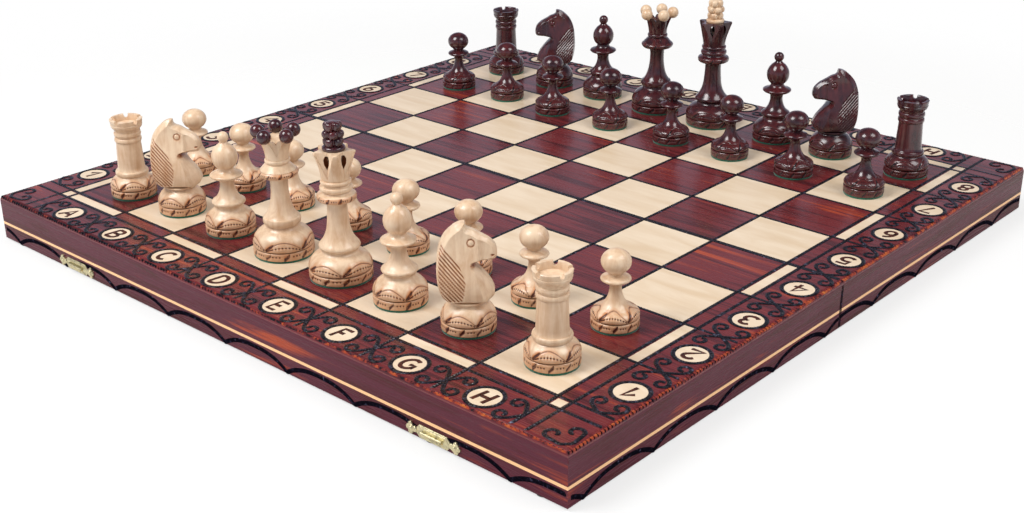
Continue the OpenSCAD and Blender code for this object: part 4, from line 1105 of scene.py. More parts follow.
def stroke_tree(name, beads):
    """Geometry Nodes tree that lays a burnt stroke, and beads if wanted, along each path."""
    tree = bpy.data.node_groups.new(name, "GeometryNodeTree")
    face = tree.interface
    face.new_socket("Geometry", in_out="INPUT", socket_type="NodeSocketGeometry")
    face.new_socket("Geometry", in_out="OUTPUT", socket_type="NodeSocketGeometry")
    for label in ("Stroke Width", "Stroke Height", "Bead Pitch", "Bead Length", "Bead Width",
                  "Bead Height", "Bead Twist"):
        face.new_socket(label, in_out="INPUT", socket_type="NodeSocketFloat")
    for label in ("Stroke Material", "Bead Material"):
        face.new_socket(label, in_out="INPUT", socket_type="NodeSocketMaterial")
    start = tree.nodes.new("NodeGroupInput").outputs
    path = node(tree, "GeometryNodeMeshToCurve", {"Mesh": start["Geometry"]}).outputs[0]
    half = calc(tree, "MULTIPLY", start["Stroke Width"], 0.5)
    ring = node(tree, "GeometryNodeCurvePrimitiveCircle", {"Resolution": 6, "Radius": half}).outputs[0]
    tube = node(tree, "GeometryNodeCurveToMesh", {"Curve": path, "Profile Curve": ring, "Fill Caps": True})
    flat = node(tree, "ShaderNodeCombineXYZ",
                {0: 1.0, 1: 1.0, 2: calc(tree, "DIVIDE", start["Stroke Height"], start["Stroke Width"])})
    tube = node(tree, "GeometryNodeTransform", {"Geometry": tube.outputs[0], "Scale": flat.outputs[0]})
    tube = node(tree, "GeometryNodeSetMaterial",
                {"Geometry": tube.outputs[0], "Material": start["Stroke Material"]}).outputs[0]
    parts = [tube]
    if beads:
        points = node(tree, "GeometryNodeCurveToPoints", {"Curve": path, "Length": start["Bead Pitch"]},
                      mode="LENGTH").outputs
        turn = node(tree, "FunctionNodeAlignRotationToVector", {"Vector": points["Tangent"]},
                    axis="X", pivot_axis="Z")
        twist = node(tree, "ShaderNodeCombineXYZ", {2: start["Bead Twist"]})
        turn = node(tree, "FunctionNodeRotateRotation",
                    {"Rotation": turn.outputs[0], "Rotate By": twist.outputs[0]}, rotation_space="LOCAL")
        ball = node(tree, "GeometryNodeMeshIcoSphere", {"Radius": 0.5, "Subdivisions": 1}).outputs[0]
        size = node(tree, "ShaderNodeCombineXYZ",
                    {0: start["Bead Length"], 1: start["Bead Width"], 2: start["Bead Height"]})
        copies = node(tree, "GeometryNodeInstanceOnPoints",
                      {"Points": points["Points"], "Instance": ball, "Rotation": turn.outputs[0],
                       "Scale": size.outputs[0]})
        solid = node(tree, "GeometryNodeRealizeInstances", {"Geometry": copies.outputs[0]})
        parts.append(node(tree, "GeometryNodeSetMaterial",
                          {"Geometry": solid.outputs[0], "Material": start["Bead Material"]}).outputs[0])
    join = tree.nodes.new("GeometryNodeJoinGeometry")
    for part in reversed(parts):
        tree.links.new(part, join.inputs[0])
    done = node(tree, "GeometryNodeRealizeInstances", {"Geometry": join.outputs[0]})
    end = tree.nodes.new("NodeGroupOutput")
    tree.links.new(done.outputs[0], end.inputs[0])
    return tree


TREES = {}


def strokes(name, paths, values, stroke, bead=None, place=None):
    """Mesh of burnt strokes along paths, drawn in a plane of their own and then put in place."""
    key = "beaded_stroke" if bead else "plain_stroke"
    if key not in TREES:
        TREES[key] = stroke_tree(key, bead is not None)
    tree = TREES[key]
    base = bpy.data.meshes.new(name)
    corners, edges = [], []
    for path in paths:
        start = len(corners)
        corners.extend(tuple(p) if len(p) == 3 else (p[0], p[1], 0.0) for p in path)
        edges.extend((start + k, start + k + 1) for k in range(len(path) - 1))
    base.from_pydata(corners, edges, [])
    obj = bpy.data.objects.new(name, base)
    bpy.context.scene.collection.objects.link(obj)
    modifier = obj.modifiers.new("strokes", "NODES")
    modifier.node_group = tree
    ids = {item.name: item.identifier for item in tree.interface.items_tree if item.in_out == "INPUT"}
    for label, value in values.items():
        modifier[ids[label]] = value
    modifier[ids["Stroke Material"]] = MATERIALS[stroke]
    if bead:
        modifier[ids["Bead Material"]] = MATERIALS[bead]
    mesh = evaluated_mesh(obj)
    if place is not None:
        mesh.transform(place)
    return mesh


def merged(name, meshes):
    """One mesh from several that keep their materials."""
    corners, faces, materials, numbers = [], [], [], []
    for mesh in meshes:
        start = len(corners)
        corners.extend(v.co[:] for v in mesh.vertices)
        own = []
        for material in mesh.materials:
            if material not in materials:
                materials.append(material)
            own.append(materials.index(material))
        for face in mesh.polygons:
            faces.append([start + c for c in face.vertices])
            numbers.append(own[face.material_index])
        bpy.data.meshes.remove(mesh)
    out = bpy.data.meshes.new(name)
    out.from_pydata(corners, [], faces)
    out.polygons.foreach_set("material_index", numbers)
    out.update()
    return out, materials


def bead_values(pitch, width, height):
    """Sizes of a beaded stroke."""
    return {"Stroke Width": width, "Stroke Height": height, "Bead Pitch": pitch,
            "Bead Length": pitch * 0.66, "Bead Width": width * 1.06, "Bead Height": height * 1.5,
            "Bead Twist": 0.55}


# A scroll's curls, in mm. X runs along the edge of the board and Y inwards, from the crossing of a
# scroll's two strokes: (middle, angle at the inner end, angle at the outer end, radius at each)
CURL = ((-10.7, 7.0), 10, -285, 2.4, 4.1)
CURL_ARM = [(-6.3, 9.2), (-3.2, 5.2), (0.0, 0.0)]
# Distance from the field to the middle of the scrolls, in m
SCROLL_OUT = 0.027
# The same as CURL for the scroll of a corner, from the middle of the board to its diagonal
CORNER_CURL = ((259.4, -250.7), -95, -350, 2.8, 4.5)
CORNER_ARM = [(264.6, -255.4), (264.9, -260.2), (262.9, -262.9)]


def curl_path(curl, arm):
    """Spiral of a curl, run out along its arm, in m."""
    (x, y), start, end, inner, outer = curl
    spiral = []
    for k in range(13):
        t = k / 12
        angle = math.radians(start + (end - start) * t)
        radius = inner + (outer - inner) * t
        spiral.append((x + radius * math.cos(angle), y + radius * math.sin(angle)))
    return smooth_path(spiral + arm, 3) * MM


def turned_to(point, side):
    """Place of a point of the near border on another side: 0 near, 1 right, 2 far, 3 left."""
    x, y = point
    for _ in range(side):
        x, y = -y, x
    return x, y


def cut_at_fold(path, half):
    """The stretch of a path that lies on the near (-1) or far (1) half."""
    kept = [p for p in path if p[1] * half >= -1e-6]
    return kept if len(kept) > 1 else []


def scroll_paths(ornament):
    """Scrolls of the whole border, drawn from the middle of the board."""
    square = square_side(ornament)
    edge = field_reach(ornament) + SCROLL_OUT
    curl = curl_path(CURL, CURL_ARM)
    corner = curl_path(CORNER_CURL, CORNER_ARM)
    paths = []
    for side in range(4):
        for k in range(-MID, MID + 1):
            for up in (-1, 1):
                for along in (-1, 1):
                    if k * along == MID:
                        continue
                    points = [(square * k - along * x, -edge + up * y) for x, y in curl]
                    paths.append([turned_to(p, side) for p in points])
        paths.append([turned_to((x, y), side) for x, y in corner])
        paths.append([turned_to((-y, -x), side) for x, y in corner])
    return paths


def line_paths(ornament, half):
    """Straight burnt lines of one half: between the squares, along the band, out to the edge."""
    square = square_side(ornament)
    reach = HALF_W - ornament.edge_r
    band = field_reach(ornament) + ornament.band_w
    gap = ornament.line_w * 0.3
    paths = []
    for k in range(-MID, MID + 1):
        paths.append([(square * k, half * gap), (square * k, half * reach)])
    for k in range(MID + 1):
        y = half * max(square * k, gap)
        paths.append([(-reach, y), (reach, y)])
    paths.append([(-reach, half * band), (reach, half * band)])
    for side in (-1, 1):
        paths.append([(side * band, half * gap), (side * band, half * reach)])
    return paths


def ring_paths(ornament, half):
    """Beaded ring around each disc of one half."""
    square = square_side(ornament)
    out = field_reach(ornament) + ornament.disc_out
    radius = ornament.disc_d / 2 + 0.0004
    middles = [(square * (k + 0.5), half * out) for k in range(-MID, MID)]
    middles += [(side * out, half * square * (k + 0.5)) for k in range(MID) for side in (-1, 1)]
    turns = [2 * math.pi * k / 40 for k in range(41)]
    return [[(x + radius * math.cos(t), y + radius * math.sin(t)) for t in turns] for x, y in middles]


# Heights of the strokes of lines, scrolls, letters and walls, and the veneer's width, in m
LINE_H, SCROLL_H, LETTER_H, WALL_STROKE_H, VENEER_W = 0.0009, 0.0008, 0.0005, 0.0003, 0.0044
# Length of an arch, and where the first whole one starts on an end wall and on a side wall, in m
ARCH_SPAN, END_CUSP, SIDE_CUSP, ARCH_COUNT = 0.0598, -0.2485, -0.256, 11


def arch_path(start, low, rise):
    """One flat-topped arch on a wall, from a foot to the next."""
    points = []
    for k in range(25):
        s = -0.5 + k / 24
        points.append((start + (s + 0.5) * ARCH_SPAN, low + rise * (1 - abs(2 * s) ** 2.6)))
    return points


def wall_parts():
    """Each end wall and each half of a side wall, as (half, place of its drawing, side). The drawing's
    X runs to the right as the wall is seen from outside. Side is 0 on an end wall, else it says on
    which side of the fold the part is drawn."""
    half_turn = Matrix.Rotation(math.pi, 4, "Z")
    front = Matrix.Translation((0, -HALF_W, 0)) @ Matrix.Rotation(math.pi / 2, 4, "X")
    right = Matrix.Rotation(math.pi / 2, 4, "Z") @ front
    back, left = half_turn @ front, half_turn @ right
    return [(-1, front, 0), (-1, right, -1), (1, right, 1), (1, back, 0), (-1, left, 1), (1, left, -1)]


def arch_paths(ornament):
    """Arches of each wall as (half, place, paths)."""
    low, reach, fold_gap = RIM_Z + 0.0008, HALF_W - 0.0006, 0.0004
    out = []
    for half, place, side in wall_parts():
        first = (SIDE_CUSP if side else END_CUSP) - ARCH_SPAN
        paths = [arch_path(first + k * ARCH_SPAN, low, ornament.arch_rise) for k in range(ARCH_COUNT)]
        paths = [[p for p in path if abs(p[0]) <= reach and (side == 0 or p[0] * side > fold_gap)]
                 for path in paths]
        out.append((half, place, [path for path in paths if len(path) > 1]))
    return out


def seam_paths(ornament):
    """Upright stroke at the end of each side wall, beside the fold, as (half, place, path)."""
    inset, low = ornament.seam_w / 2 + 0.0001, RIM_Z + 0.0004
    return [(half, place, [(inset * side, low), (inset * side, TOP_Z - ornament.edge_r)])
            for half, place, side in wall_parts() if side]


def veneer_paths():
    """Line along the panel's side on each wall, as (half, place, path, wood)."""
    z, reach, fold_gap = PANEL_LOW.z + 0.0019, HALF_W - 0.0002, 0.0003
    out = []
    for half, place, side in wall_parts():
        ends = (side * fold_gap, side * reach) if side else (-reach, reach)
        out.append((half, place, [(x, z) for x in ends], "wall_y" if side else "wall_x"))
    return out


def rope_paths(ornament, half):
    """Rounded outer edge of one half, at the middle of its round."""
    inset = ornament.edge_r * (1 - math.cos(math.radians(45))) + 0.0003
    x, y, z = HALF_W - inset, half * (HALF_W - inset), TOP_Z - inset
    return [[(-x, half * 0.0004, z), (-x, y, z), (x, y, z), (x, half * 0.0004, z)]]


def arc(x, y, rx, ry, start, end, steps=9):
    """Part of an ellipse from one angle to another, in degrees."""
    return [(x + rx * math.cos(math.radians(start + (end - start) * k / steps)),
             y + ry * math.sin(math.radians(start + (end - start) * k / steps))) for k in range(steps + 1)]


# Strokes of each letter and number in a box from -0.5 to 0.5
GLYPHS = {
    "A": [[(-0.40, -0.48), (0.02, 0.5), (0.38, -0.48)], [(-0.24, -0.12), (0.24, -0.12)]],
    "B": [[(-0.30, -0.5), (-0.30, 0.5)], [(-0.30, 0.5), *arc(0.02, 0.26, 0.26, 0.23, 90, -90), (-0.28, 0.03)],
          [(-0.05, 0.03), *arc(0.04, -0.23, 0.30, 0.26, 90, -90), (-0.30, -0.49)]],
    "C": [arc(0.04, 0.0, 0.38, 0.48, 50, 310, 14)],
    "D": [[(-0.30, -0.5), (-0.30, 0.5)],
          [(-0.30, 0.5), *arc(-0.04, 0.0, 0.38, 0.5, 90, -90, 12), (-0.30, -0.5)]],
    "E": [[(0.30, 0.48), (-0.26, 0.48), (-0.26, -0.48), (0.32, -0.48)], [(-0.26, 0.02), (0.20, 0.02)]],
    "F": [[(0.32, 0.48), (-0.24, 0.48), (-0.24, -0.5)], [(-0.24, 0.04), (0.18, 0.04)]],
    "G": [[*arc(0.02, 0.0, 0.40, 0.48, 50, 335, 14)], [(0.06, -0.04), (0.40, -0.04), (0.38, -0.36)]],
    "H": [[(-0.34, -0.5), (-0.30, 0.5)], [(0.30, -0.5), (0.34, 0.5)], [(-0.32, 0.0), (0.32, 0.0)]],
    "1": [[(-0.34, 0.10), (0.10, 0.5), (0.02, -0.5)]],
    "2": [[*arc(0.0, 0.24, 0.30, 0.26, 165, -30, 10), (-0.34, -0.48), (0.38, -0.46)]],
    "3": [[*arc(-0.02, 0.25, 0.28, 0.24, 150, -80, 9), *arc(-0.02, -0.23, 0.34, 0.27, 80, -155, 10)]],
    "4": [[(0.18, -0.5), (0.14, 0.5), (-0.36, -0.14), (0.38, -0.14)]],
    "5": [[(0.30, 0.48), (-0.24, 0.48), (-0.28, 0.06), *arc(-0.02, -0.18, 0.34, 0.30, 110, -150, 11)]],
    "6": [[*arc(0.14, 0.02, 0.44, 0.46, 95, 180, 8), *arc(0.0, -0.20, 0.30, 0.28, 180, 540, 14)]],
    "7": [[(-0.32, 0.46), (0.34, 0.48), (-0.06, -0.5)]],
    "8": [arc(0.0, 0.25, 0.24, 0.23, -90, 270, 14), arc(0.0, -0.24, 0.31, 0.26, 90, 450, 14)],
}


def glyph_paths(ornament, half):
    """Letters and numbers on the discs of one half."""
    square = square_side(ornament)
    out = field_reach(ornament) + ornament.disc_out
    size = ornament.glyph_h
    marks = [(letter, square * (k + 0.5 - MID), half * out, 0.0 if half < 0 else math.pi)
             for k, letter in enumerate(FILES)]
    for k, number in enumerate(RANKS):
        y = square * (k + 0.5 - MID)
        if y * half > 0:
            marks += [(number, out, y, math.pi), (number, -out, y, 0.0)]
    paths = []
    for mark, x, y, turn in marks:
        c, s = math.cos(turn), math.sin(turn)
        for stroke in GLYPHS[mark]:
            slanted = [(px + 0.12 * py, py) for px, py in stroke]
            paths.append([(x + size * (px * c - py * s), y + size * (px * s + py * c))
                          for px, py in slanted])
    return paths


def lay(half, name, slot, *meshes):
    """Makes meshes one piece of ornament on the near (-1) or far (1) half."""
    side = "near_" if half < 0 else "far_"
    mesh, materials = merged(name, meshes)
    new_piece(side + name, mesh, side + "half", slot, materials)


# ---- Cast catches ----


def slab(shape, outline, low, high, bevel, slot=0):
    """Flat plate with a bevelled face. The outline runs counter-clockwise and faces +Z."""
    points = np.array(outline, float)
    after, before = np.roll(points, -1, axis=0), np.roll(points, 1, axis=0)
    along = (after - before) / np.maximum(np.linalg.norm(after - before, axis=1), 1e-9)[:, None]
    inward = np.column_stack([-along[:, 1], along[:, 0]])
    inset = points + inward * bevel
    rings = [(points, low), (points, high - bevel), (inset, high)]
    n = len(points)
    corners = [(x, y, z) for ring, z in rings for x, y in ring]
    faces = [(a * n + k, a * n + (k + 1) % n, (a + 1) * n + (k + 1) % n, (a + 1) * n + k)
             for a in range(2) for k in range(n)]
    faces += [tuple(range(2 * n, 3 * n)), tuple(reversed(range(n)))]
    shape.add(corners, faces, slot=slot)


def bar(x0, x1, y0, y1):
    """Outline of a bar."""
    return [(x0, y0), (x1, y0), (x1, y1), (x0, y1)]


def hexagon(tip, body, half_h):
    """Outline of a plate that is pointed at both ends."""
    return [(-tip, 0.0), (-body, -half_h), (body, -half_h), (tip, 0.0), (body, half_h), (-body, half_h)]


def disc(x, y, r, steps=10):
    """Outline of a round plate, with its steps to a half turn."""
    turns = [t * math.pi / steps for t in range(2 * steps)]
    return [(x + r * math.cos(t), y + r * math.sin(t)) for t in turns]


def catch_shape():
    """A cast catch as it lies flat: hexagonal plate, lobed ends, low bars, and the ridge that a latch's
    window drops over."""
    shape = Shape()
    body, tip, half_h = 9.6, 14.2, 4.1
    slab(shape, hexagon(tip, body + 1, half_h), 0.0, 0.6, 0.2)
    slab(shape, hexagon(tip - 2.2, body + 0.2, half_h - 0.9), 0.5, 0.8, 0.15)
    slab(shape, bar(-8.6, 8.6, 1.9, 2.9), 0.7, 0.95, 0.1)
    slab(shape, bar(-7.9, 7.9, -0.3, 1.2), 0.7, 2.7, 0.35)
    slab(shape, bar(-7.4, 7.4, -1.7, -0.7), 0.7, 0.95, 0.1, slot=1)
    slab(shape, bar(-8.0, 8.0, -2.9, -2.0), 0.7, 0.95, 0.1)
    lobe_out = 2.4
    for side in (-1, 1):
        middle = side * 16.6
        for turn in (0, 72, -72, 180):
            angle = math.radians(turn) + (math.pi if side < 0 else 0.0)
            x, y = middle + lobe_out * math.cos(angle), lobe_out * math.sin(angle)
            slab(shape, disc(x, y, 1.9 if turn == 180 else 1.7, 8), 0.0, 1.2, 0.35)
        slab(shape, disc(middle, 0.0, 2.6), 0.0, 1.4, 0.3)
        slab(shape, disc(middle, 0.0, 1.5), 1.3, 1.9, 0.35)
    return shape


# ---- Operators ----


class CHESSBOX_OT_woods(bpy.types.Operator):
    """Gives every kept piece of the box its wood, felt or brass"""

    bl_idname = "chess_box.woods"
    bl_label = "Woods and metals"

    def execute(self, context):
        make_materials(context.scene)
        finishes = {
            "board": ["near_panel", "far_panel"],
            "wall_x": ["near_front_wall", "far_back_wall", "near_spine_wall", "far_spine_wall"],
            "wall_y": ["near_left_wall", "near_right_wall", "far_left_wall", "far_right_wall"],
            "squares": ["near_light_squares", "far_light_squares"],
            "inlays": ["near_border_inlays", "far_border_inlays"],
            "flock": ["near_tray", "far_tray"],
            "felt": ["near_felt_pads", "far_felt_pads"],
            "brass": ["near_hinge_leaves", "far_hinge_leaves", "near_screws", "far_screws", "hinge_pins",
                      "latch_pins"],
            "casting": ["latch_plates", "left_latch", "right_latch", "catch_plates"],
        }
        for finish, names in finishes.items():
            for name in names:
                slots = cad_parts[name].data.materials
                slots.clear()
                slots.append(MATERIALS[finish])
        return {"FINISHED"}


class CHESSBOX_OT_lines(bpy.types.Operator):
    """Burnt lines between the squares and along the band, pressed with beads"""

    bl_idname = "chess_box.lines"
    bl_label = "Burnt lines"

    def execute(self, context):
        ornament = context.scene.chess_ornament
        for half in (-1, 1):
            values = bead_values(ornament.bead_pitch, ornament.line_stroke, LINE_H)
            place = Matrix.Translation((0, 0, TOP_Z - 0.0002))
            mesh = strokes("lines", line_paths(ornament, half), values, "burnt", "burnt", place)
            lay(half, "burnt_lines", "board_wood", mesh)
        return {"FINISHED"}


class CHESSBOX_OT_scrolls(bpy.types.Operator):
    """Burnt scrolls of the border and the rings around its discs"""

    bl_idname = "chess_box.scrolls"
    bl_label = "Scrolls and rings"

    def execute(self, context):
        ornament = context.scene.chess_ornament
        scrolls = scroll_paths(ornament)
        place = Matrix.Translation((0, 0, TOP_Z + 0.0001))
        for half in (-1, 1):
            kept = [cut for cut in (cut_at_fold(path, half) for path in scrolls) if cut]
            values = bead_values(ornament.bead_pitch, ornament.scroll_w, SCROLL_H)
            curls = strokes("scrolls", kept, values, "burnt", "burnt", place)
            values = bead_values(ornament.bead_pitch, ornament.ring_w, SCROLL_H)
            rings = strokes("rings", ring_paths(ornament, half), values, "burnt", "burnt", place)
            lay(half, "scrolls", "board_wood", curls, rings)
        return {"FINISHED"}


class CHESSBOX_OT_arches(bpy.types.Operator):
    """Burnt arches low on the walls, burnt ends of the side walls and veneer over the panel's sides"""

    bl_idname = "chess_box.arches"
    bl_label = "Wall arches"

    def execute(self, context):
        ornament = context.scene.chess_ornament
        found = {-1: [], 1: []}
        for half, place, paths in arch_paths(ornament):
            values = bead_values(ornament.bead_pitch, ornament.arch_w, WALL_STROKE_H)
            found[half].append(strokes("arches", paths, values, "dull_burnt", "dull_burnt", place))
        values = {"Stroke Width": ornament.seam_w, "Stroke Height": WALL_STROKE_H}
        for half, place, path in seam_paths(ornament):
            found[half].append(strokes("seam", [path], values, "dull_burnt", None, place))
        values = {"Stroke Width": VENEER_W, "Stroke Height": WALL_STROKE_H}
        for half, place, path, wood in veneer_paths():
            found[half].append(strokes("veneer", [path], values, wood, None, place))
        for half, meshes in found.items():
            lay(half, "wall_arches", "wall_wood", *meshes)
        return {"FINISHED"}


class CHESSBOX_OT_rope(bpy.types.Operator):
    """Notched rope along the rounded outer edge"""

    bl_idname = "chess_box.rope"
    bl_label = "Roped edge"

    def execute(self, context):
        ornament = context.scene.chess_ornament
        values = {"Stroke Width": 0.0022, "Stroke Height": 0.0022, "Bead Pitch": ornament.rope_pitch,
                  "Bead Length": 0.0012, "Bead Width": 0.0028, "Bead Height": 0.0026, "Bead Twist": 0.9}
        for half in (-1, 1):
            mesh = strokes("rope", rope_paths(ornament, half), values, "rope", "dull_burnt")
            lay(half, "roped_edge", "board_wood", mesh)
        return {"FINISHED"}


class CHESSBOX_OT_letters(bpy.types.Operator):
    """Burnt letters and numbers on the discs"""

    bl_idname = "chess_box.letters"
    bl_label = "Letters and numbers"

    def execute(self, context):
        ornament = context.scene.chess_ornament
        values = {"Stroke Width": ornament.glyph_w, "Stroke Height": LETTER_H}
        place = Matrix.Translation((0, 0, TOP_Z))
        for half in (-1, 1):
            mesh = strokes("letters", glyph_paths(ornament, half), values, "letter", None, place)
            lay(half, "coordinates", "light_inlay", mesh)
        return {"FINISHED"}


class CHESSBOX_OT_catches(bpy.types.Operator):
    """Cast catches on the near wall"""

    bl_idname = "chess_box.catches"
    bl_label = "Catches"

    def execute(self, context):
        low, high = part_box("catch_plates")
        plate_len = 41.7 * MM
        upright = Matrix.Rotation(math.pi / 2, 4, "X")
        places_x = (low.x + plate_len / 2, high.x - plate_len / 2)
        spots = [Matrix.Translation((x, -HALF_W, (low.z + high.z) / 2)) @ upright for x in places_x]
        mesh = joined("cast_catches", *[catch_shape().mesh("catch", spot) for spot in spots])
        finish_mesh(mesh, 30.0)
        new_piece("cast_catches", mesh, "near_half", "brass", [MATERIALS["casting"], MATERIALS["brass"]],
                  ["catch_plates"])
        return {"FINISHED"}


class CHESSBOX_OT_pawns(bpy.types.Operator):
    """Turned pawns of both sides"""

    bl_idname = "chess_box.pawns"
    bl_label = "Pawns"

    def execute(self, context):
        make_men(context.scene, "pawn")
        return {"FINISHED"}


class CHESSBOX_OT_rooks(bpy.types.Operator):
    """Turned rooks of both sides, with notched battlements"""

    bl_idname = "chess_box.rooks"
    bl_label = "Rooks"

    def execute(self, context):
        make_men(context.scene, "rook")
        return {"FINISHED"}


class CHESSBOX_OT_knights(bpy.types.Operator):
    """Carved knights of both sides"""

    bl_idname = "chess_box.knights"
    bl_label = "Knights"

    def execute(self, context):
        make_men(context.scene, "knight")
        return {"FINISHED"}


class CHESSBOX_OT_bishops(bpy.types.Operator):
    """Turned bishops of both sides"""

    bl_idname = "chess_box.bishops"
    bl_label = "Bishops"

    def execute(self, context):
        make_men(context.scene, "bishop")
        return {"FINISHED"}


class CHESSBOX_OT_queens(bpy.types.Operator):
    """Queens with their crowns of balls"""

    bl_idname = "chess_box.queens"
    bl_label = "Queens"

    def execute(self, context):
        make_men(context.scene, "queen")
        return {"FINISHED"}


class CHESSBOX_OT_kings(bpy.types.Operator):
    """Kings with pierced crowns and notched finials"""

    bl_idname = "chess_box.kings"
    bl_label = "Kings"

    def execute(self, context):
        make_men(context.scene, "king")
        return {"FINISHED"}


def area_light(scene, name, place, power):
    """Soft square lamp aimed at the middle of the board."""
    data = bpy.data.lights.new(name, "AREA")
    data.shape = "RECTANGLE"
    data.size = data.size_y = 0.8
    data.energy = power
    lamp = bpy.data.objects.new(name, data)
    lamp.location = place
    lamp.rotation_mode = "QUATERNION"
    lamp.rotation_quaternion = (-Vector(place)).to_track_quat("-Z", "Y")
    scene.collection.objects.link(lamp)


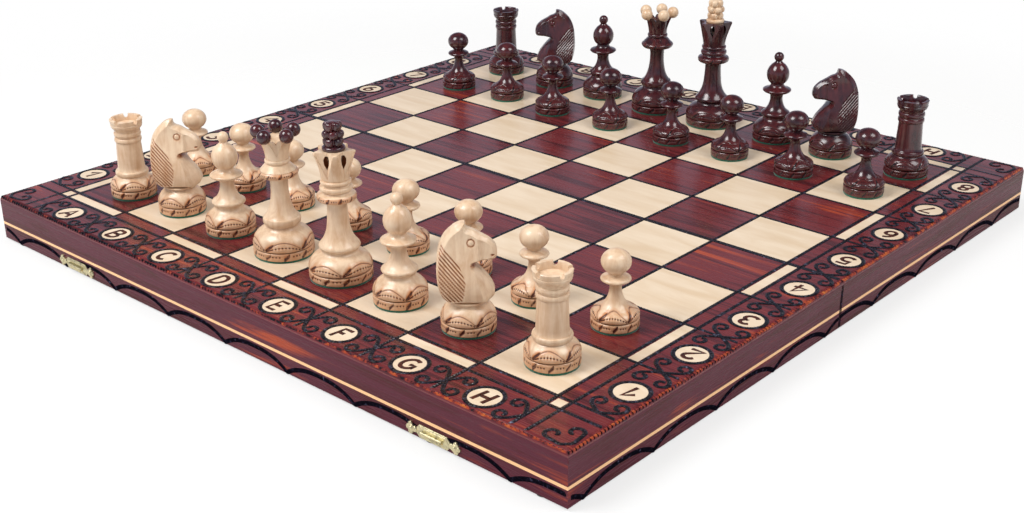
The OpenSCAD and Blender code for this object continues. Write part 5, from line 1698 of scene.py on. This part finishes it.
class CHESSBOX_OT_stage(bpy.types.Operator):
    """Pale floor, soft light, even surroundings and the camera"""

    bl_idname = "chess_box.stage"
    bl_label = "Stage"
    VEIL = 0.32

    def execute(self, context):
        scene = context.scene
        studio = scene.chess_studio
        self.make_floor(scene)
        self.make_world(scene, studio.sky)
        area_light(scene, "key_light", (-0.45, -0.95, 1.4), studio.key)
        area_light(scene, "fill_light", (1.1, 0.25, 1.4), studio.fill)
        self.make_camera(scene, studio.lens)
        scene.view_settings.view_transform = "Standard"
        return {"FINISHED"}

    def make_floor(self, scene):
        """Wide round floor under the box. The camera sees it as a thin veil that takes the shadows, fades
        out to the sides and opens over a half that hangs below it. The lamps reach such a half too."""
        sides, radius = 64, 4.0
        turns = [2 * math.pi * k / sides for k in range(sides)]
        corners = [(radius * math.cos(turn), radius * math.sin(turn), 0.0) for turn in turns]
        mesh = bpy.data.meshes.new("floor")
        mesh.from_pydata(corners, [], [tuple(range(sides))])
        material, tree = new_material("pale_floor")
        ray = tree.nodes.new("ShaderNodeLightPath").outputs
        under = tree.nodes.new("ShaderNodeNewGeometry").outputs["Backfacing"]
        away = vectors(tree, "LENGTH", places(tree)[0], socket="Value")
        veil = spread(tree, away, 0.42, 0.75, self.VEIL, 0.0)
        below = node(tree, "ShaderNodeAmbientOcclusion", {"Distance": 0.8}, inside=True, samples=16)
        veil = calc(tree, "MULTIPLY", veil, spread(tree, below.outputs["AO"], 0.93, 1.0))
        solid = calc(tree, "SUBTRACT", 1.0, calc(tree, "MULTIPLY", ray["Is Shadow Ray"], under))
        seen = ray["Is Camera Ray"]
        unseen = calc(tree, "SUBTRACT", 1.0, seen)
        cover = calc(tree, "MULTIPLY_ADD", seen, veil, calc(tree, "MULTIPLY", solid, unseen))
        clear = node(tree, "ShaderNodeBsdfTransparent", {"Color": (1, 1, 1, 1)}).outputs[0]
        pale = node(tree, "ShaderNodeBsdfDiffuse", {"Color": (0.85, 0.85, 0.85, 1)}).outputs[0]
        both = node(tree, "ShaderNodeMixShader", {0: cover, 1: clear, 2: pale}).outputs[0]
        tree.links.new(both, tree.nodes.new("ShaderNodeOutputMaterial").inputs[0])
        mesh.materials.append(material)
        floor = bpy.data.objects.new("floor", mesh)
        scene.collection.objects.link(floor)

    def make_world(self, scene, strength):
        """White background, and an even light around the object."""
        world = bpy.data.worlds.new("surroundings")
        scene.world = world
        world.use_nodes = True
        tree = world.node_tree
        tree.nodes.clear()
        ray = tree.nodes.new("ShaderNodeLightPath").outputs
        seen = calc(tree, "MAXIMUM", ray["Is Camera Ray"], ray["Is Transmission Ray"])
        white = node(tree, "ShaderNodeBackground", {"Color": (1, 1, 1, 1), "Strength": 1.0})
        way = node(tree, "ShaderNodeTexCoord").outputs["Generated"]
        up = node(tree, "ShaderNodeSeparateXYZ", {0: way}).outputs[2]
        mirrored = spread(tree, up, 0.28, 0.50, 0.60, 0.12)
        mirrored = calc(tree, "MINIMUM", mirrored, spread(tree, up, -0.35, 0.0, 0.30, 1.0))
        matt = calc(tree, "SUBTRACT", 1.0, ray["Is Glossy Ray"])
        even = calc(tree, "ADD", calc(tree, "MULTIPLY", ray["Is Glossy Ray"], mirrored),
                    calc(tree, "MULTIPLY", matt, strength))
        tint = blend(tree, ray["Is Glossy Ray"], (1.0, 0.98, 0.95), (0.74, 0.80, 1.0))
        glow = node(tree, "ShaderNodeBackground", {"Color": tint, "Strength": even})
        both = node(tree, "ShaderNodeMixShader", {0: seen, 1: glow.outputs[0], 2: white.outputs[0]})
        out = tree.nodes.new("ShaderNodeOutputWorld")
        tree.links.new(both.outputs[0], out.inputs[0])

    def make_camera(self, scene, lens):
        """Camera at the photograph's place."""
        data = bpy.data.cameras.new("camera")
        data.sensor_width = 36.0
        data.sensor_fit = "HORIZONTAL"
        data.lens = lens
        data.clip_start, data.clip_end = 0.01, 50.0
        camera = bpy.data.objects.new("camera", data)
        place = Vector((0.6532, -0.7358, 0.4092))
        ahead = Vector((-0.61190, 0.67933, -0.40509)).normalized()
        right = Vector((0.74547, 0.66648, -0.00838))
        right = (right - ahead * right.dot(ahead)).normalized()
        up = right.cross(ahead)
        turn = Matrix((right, up, -ahead)).transposed().to_4x4()
        camera.matrix_world = Matrix.Translation(place) @ turn
        scene.collection.objects.link(camera)
        scene.camera = camera


OPERATORS = (CHESSBOX_OT_woods, CHESSBOX_OT_lines, CHESSBOX_OT_scrolls, CHESSBOX_OT_arches,
             CHESSBOX_OT_rope, CHESSBOX_OT_letters, CHESSBOX_OT_catches, CHESSBOX_OT_pawns,
             CHESSBOX_OT_rooks, CHESSBOX_OT_knights, CHESSBOX_OT_bishops, CHESSBOX_OT_queens,
             CHESSBOX_OT_kings, CHESSBOX_OT_stage)


class CHESSBOX_PT_panel(bpy.types.Panel):
    """Lists the steps of dressing the box"""

    bl_idname = "CHESSBOX_PT_panel"
    bl_label = "Chess Box"
    bl_space_type = "VIEW_3D"
    bl_region_type = "UI"
    bl_category = "Chess Box"

    def draw(self, context):
        for group in ("chess_ornament", "chess_woods", "chess_men", "chess_studio"):
            settings = getattr(context.scene, group)
            box = self.layout.box()
            for name in settings.bl_rna.properties.keys():
                if name not in ("rna_type", "name"):
                    box.prop(settings, name)
        for operator in OPERATORS:
            self.layout.operator(operator.bl_idname)


GROUPS = {"chess_ornament": ChessOrnament, "chess_woods": ChessWoods, "chess_men": ChessMen,
          "chess_studio": ChessStudio}


def register():
    """Registers the settings, the operators and the panel."""
    for name, group in GROUPS.items():
        bpy.utils.register_class(group)
        setattr(bpy.types.Scene, name, PointerProperty(type=group))
    for operator in OPERATORS:
        bpy.utils.register_class(operator)
    bpy.utils.register_class(CHESSBOX_PT_panel)


def unregister():
    """Removes what register added."""
    bpy.utils.unregister_class(CHESSBOX_PT_panel)
    for operator in reversed(OPERATORS):
        bpy.utils.unregister_class(operator)
    for name, group in reversed(GROUPS.items()):
        delattr(bpy.types.Scene, name)
        bpy.utils.unregister_class(group)


def main():
    """Dresses the box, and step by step."""
    register()
    for operator in OPERATORS:
        group, name = operator.bl_idname.split(".")
        getattr(getattr(bpy.ops, group), name)()


if __name__ == "__main__":
    main()
